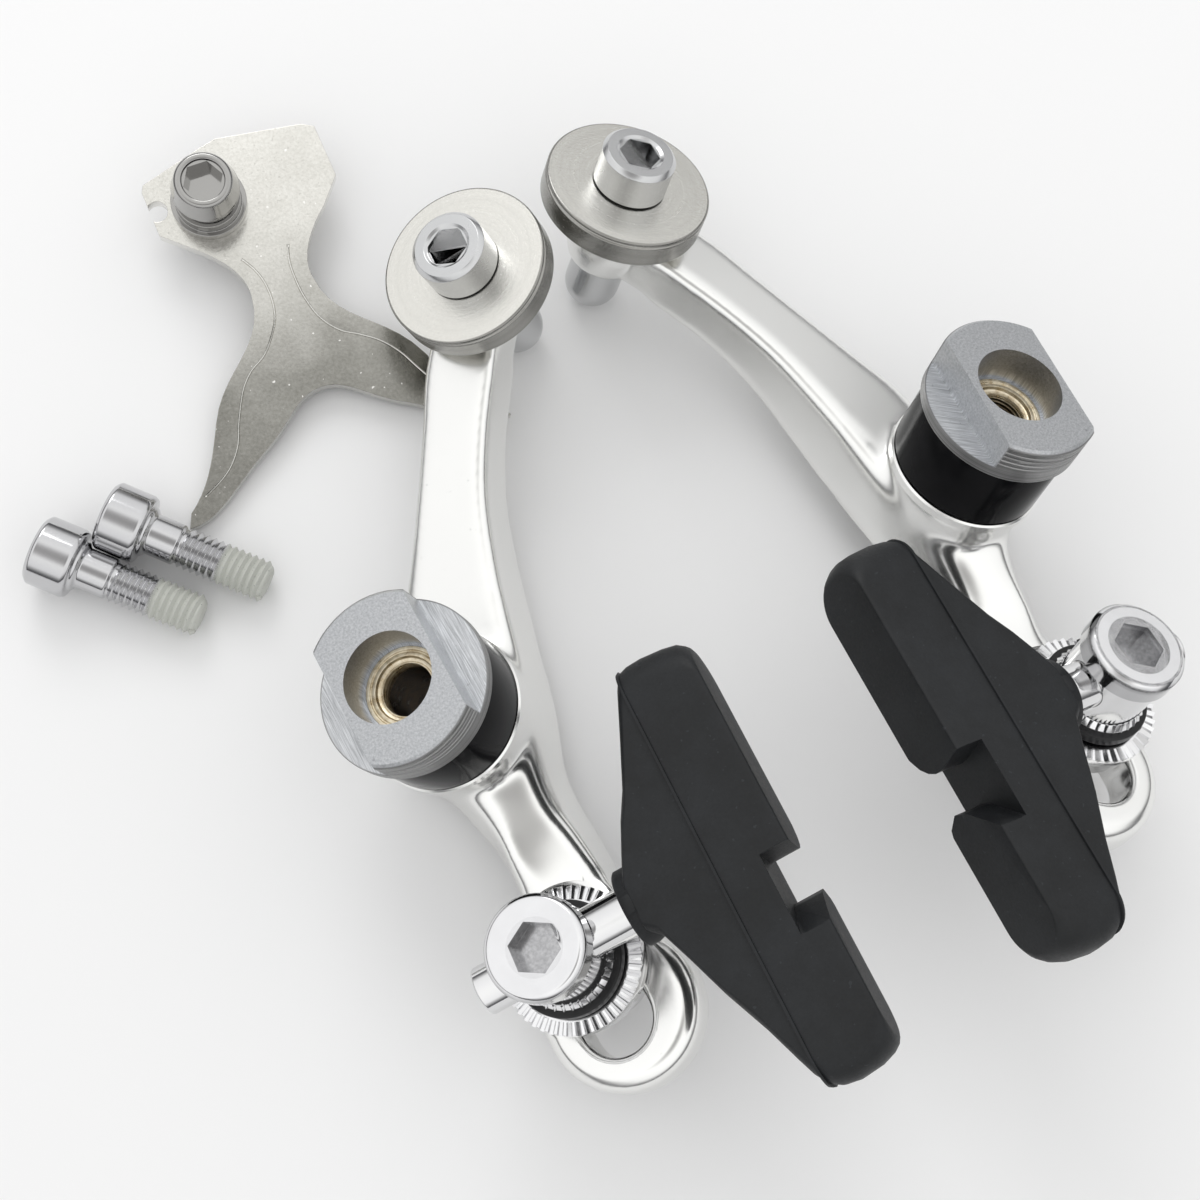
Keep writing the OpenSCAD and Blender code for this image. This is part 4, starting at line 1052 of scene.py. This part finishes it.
def makeBolts():
    s = boltShape
    end = s["headHigh"] + s["long"]
    neck = s["headHigh"] + s["plain"]
    body = lathed([(0.001, 3.2), (2.9, 3.2), (2.9, 0.02), (4.4, 0.0), (s["head"], 0.6), (s["head"], 5.4),
                   (4.7, s["headHigh"]), (3.75, s["headHigh"]), (3.6, s["headHigh"] + 0.5),
                   (s["shank"], s["headHigh"] + 0.9), (s["shank"], neck - 0.3), (s["core"], neck),
                   (s["core"], end - 0.5), (s["core"] - 0.6, end), (0.001, end)], 0.22)
    corner = s["hexagon"] / math.sqrt(3)
    collar = combine(drum("collar", [(3.15, 0.15), (3.15, 3.45)], 64),
                     drum("hexagon", [(corner, -0.5), (corner, s["socketEnd"])], 6), "DIFFERENCE")
    turns = (end - neck - 0.9) / s["pitch"]
    coil = grown(recipes["coil"], "boltThread", {"Radius": s["core"], "Pitch": s["pitch"], "Turns": turns,
                 "Ridge": s["ridge"], "Base": neck + 0.4})
    parts = [combine(body, collar, "UNION"), coil]
    for i, (x, y, turn) in enumerate(layout["boltSpots"]):
        at = frameAt(layout["setX"] + x, layout["setY"] + y, s["lift"], (0, 90 + s["tilt"], turn))
        mesh = evened(joined(parts, at), 32)
        keep("mountingBolt" + "AB"[i], mesh, boltFinish("boltChrome" + "AB"[i], at), "mounting_bolts")
    print("mounting bolts made")


makeBolts()

# Floor, lights and the studio that the metal mirrors


def makeStudio():
    look = {
        "floor": 0.84, "strength": 1.22, "soft": 0.98, "backdrop": 0.9,
        "key": 1.5, "keySize": 0.4, "keyAt": (-0.17, 0.64, 0.54),
        "dark": (0.0, -0.2, 0.98),  # towards the dark patch that a shiny part mirrors
        "patch": [(0.0, (0.82, 0.82, 0.82)), (0.70, (0.95, 0.95, 0.95)), (0.885, (1.02, 1.02, 1.01)),
                  (0.93, (0.85, 0.85, 0.84)), (0.96, (0.6, 0.595, 0.59)), (0.98, (0.46, 0.455, 0.45)),
                  (1.0, (0.36, 0.355, 0.35))],
        "upward": [(0.0, (0.10, 0.10, 0.105)), (0.12, (0.17, 0.17, 0.175)), (0.24, (0.5, 0.5, 0.5)),
                   (0.38, (0.95, 0.95, 0.95)), (0.5, (1.0, 1.0, 1.0))],
    }
    bpy.context.scene.view_settings.view_transform = "Standard"
    bpy.ops.mesh.primitive_plane_add(size=8, location=(0, 0, -0.00005))
    floor = bpy.context.object
    floor.name = "floor"
    f = Finish("floorPaper", Roughness=0.9)
    f.set("Base Color", f.mix(f.noise(f.spot(), 6, 2), [look["floor"]] * 3, [look["floor"] * 1.02] * 3))
    floor.data.materials.append(f.material)
    world = bpy.data.worlds.new("studio")
    bpy.context.scene.world = world
    world.use_nodes = True
    net = Net(world.node_tree)
    net.tree.nodes.clear()
    where = net.node("ShaderNodeTexCoord", out="Generated")
    facing = net.node("ShaderNodeVectorMath", {"operation": "DOT_PRODUCT"},
                      {0: where, 1: look["dark"]}, "Value")
    patch = net.node("ShaderNodeValToRGB", {"stops": look["patch"]}, {0: facing})
    upward = net.node("ShaderNodeValToRGB", {"stops": look["upward"]}, {0: net.apart(where)[2]})
    both = net.node("ShaderNodeMix", {"data_type": "RGBA", "blend_type": "MULTIPLY"},
                    {0: 1.0, 6: patch, 7: upward}, 2)
    seen = net.node("ShaderNodeBackground", None, {"Color": [look["backdrop"]] * 3})
    mirrored = net.node("ShaderNodeBackground", None, {"Color": both, "Strength": look["strength"]})
    even = net.node("ShaderNodeBackground", None, {"Color": [look["soft"]] * 3})
    lit = net.node("ShaderNodeMixShader", None, {0: net.node("ShaderNodeLightPath", out="Is Diffuse Ray"),
                   1: mirrored, 2: even})
    pick = net.node("ShaderNodeMixShader", None, {0: net.node("ShaderNodeLightPath", out="Is Camera Ray"),
                    1: lit, 2: seen})
    net.node("ShaderNodeOutputWorld", None, {0: pick})
    data = bpy.data.lights.new("keyLight", "AREA")
    data.energy, data.size = look["key"], look["keySize"]
    lamp = bpy.data.objects.new("keyLight", data)
    bpy.context.scene.collection.objects.link(lamp)
    lamp.location = look["keyAt"]
    lamp.rotation_euler = (-Vector(look["keyAt"])).to_track_quat("-Z", "Y").to_euler()
    print("studio lit")


makeStudio()
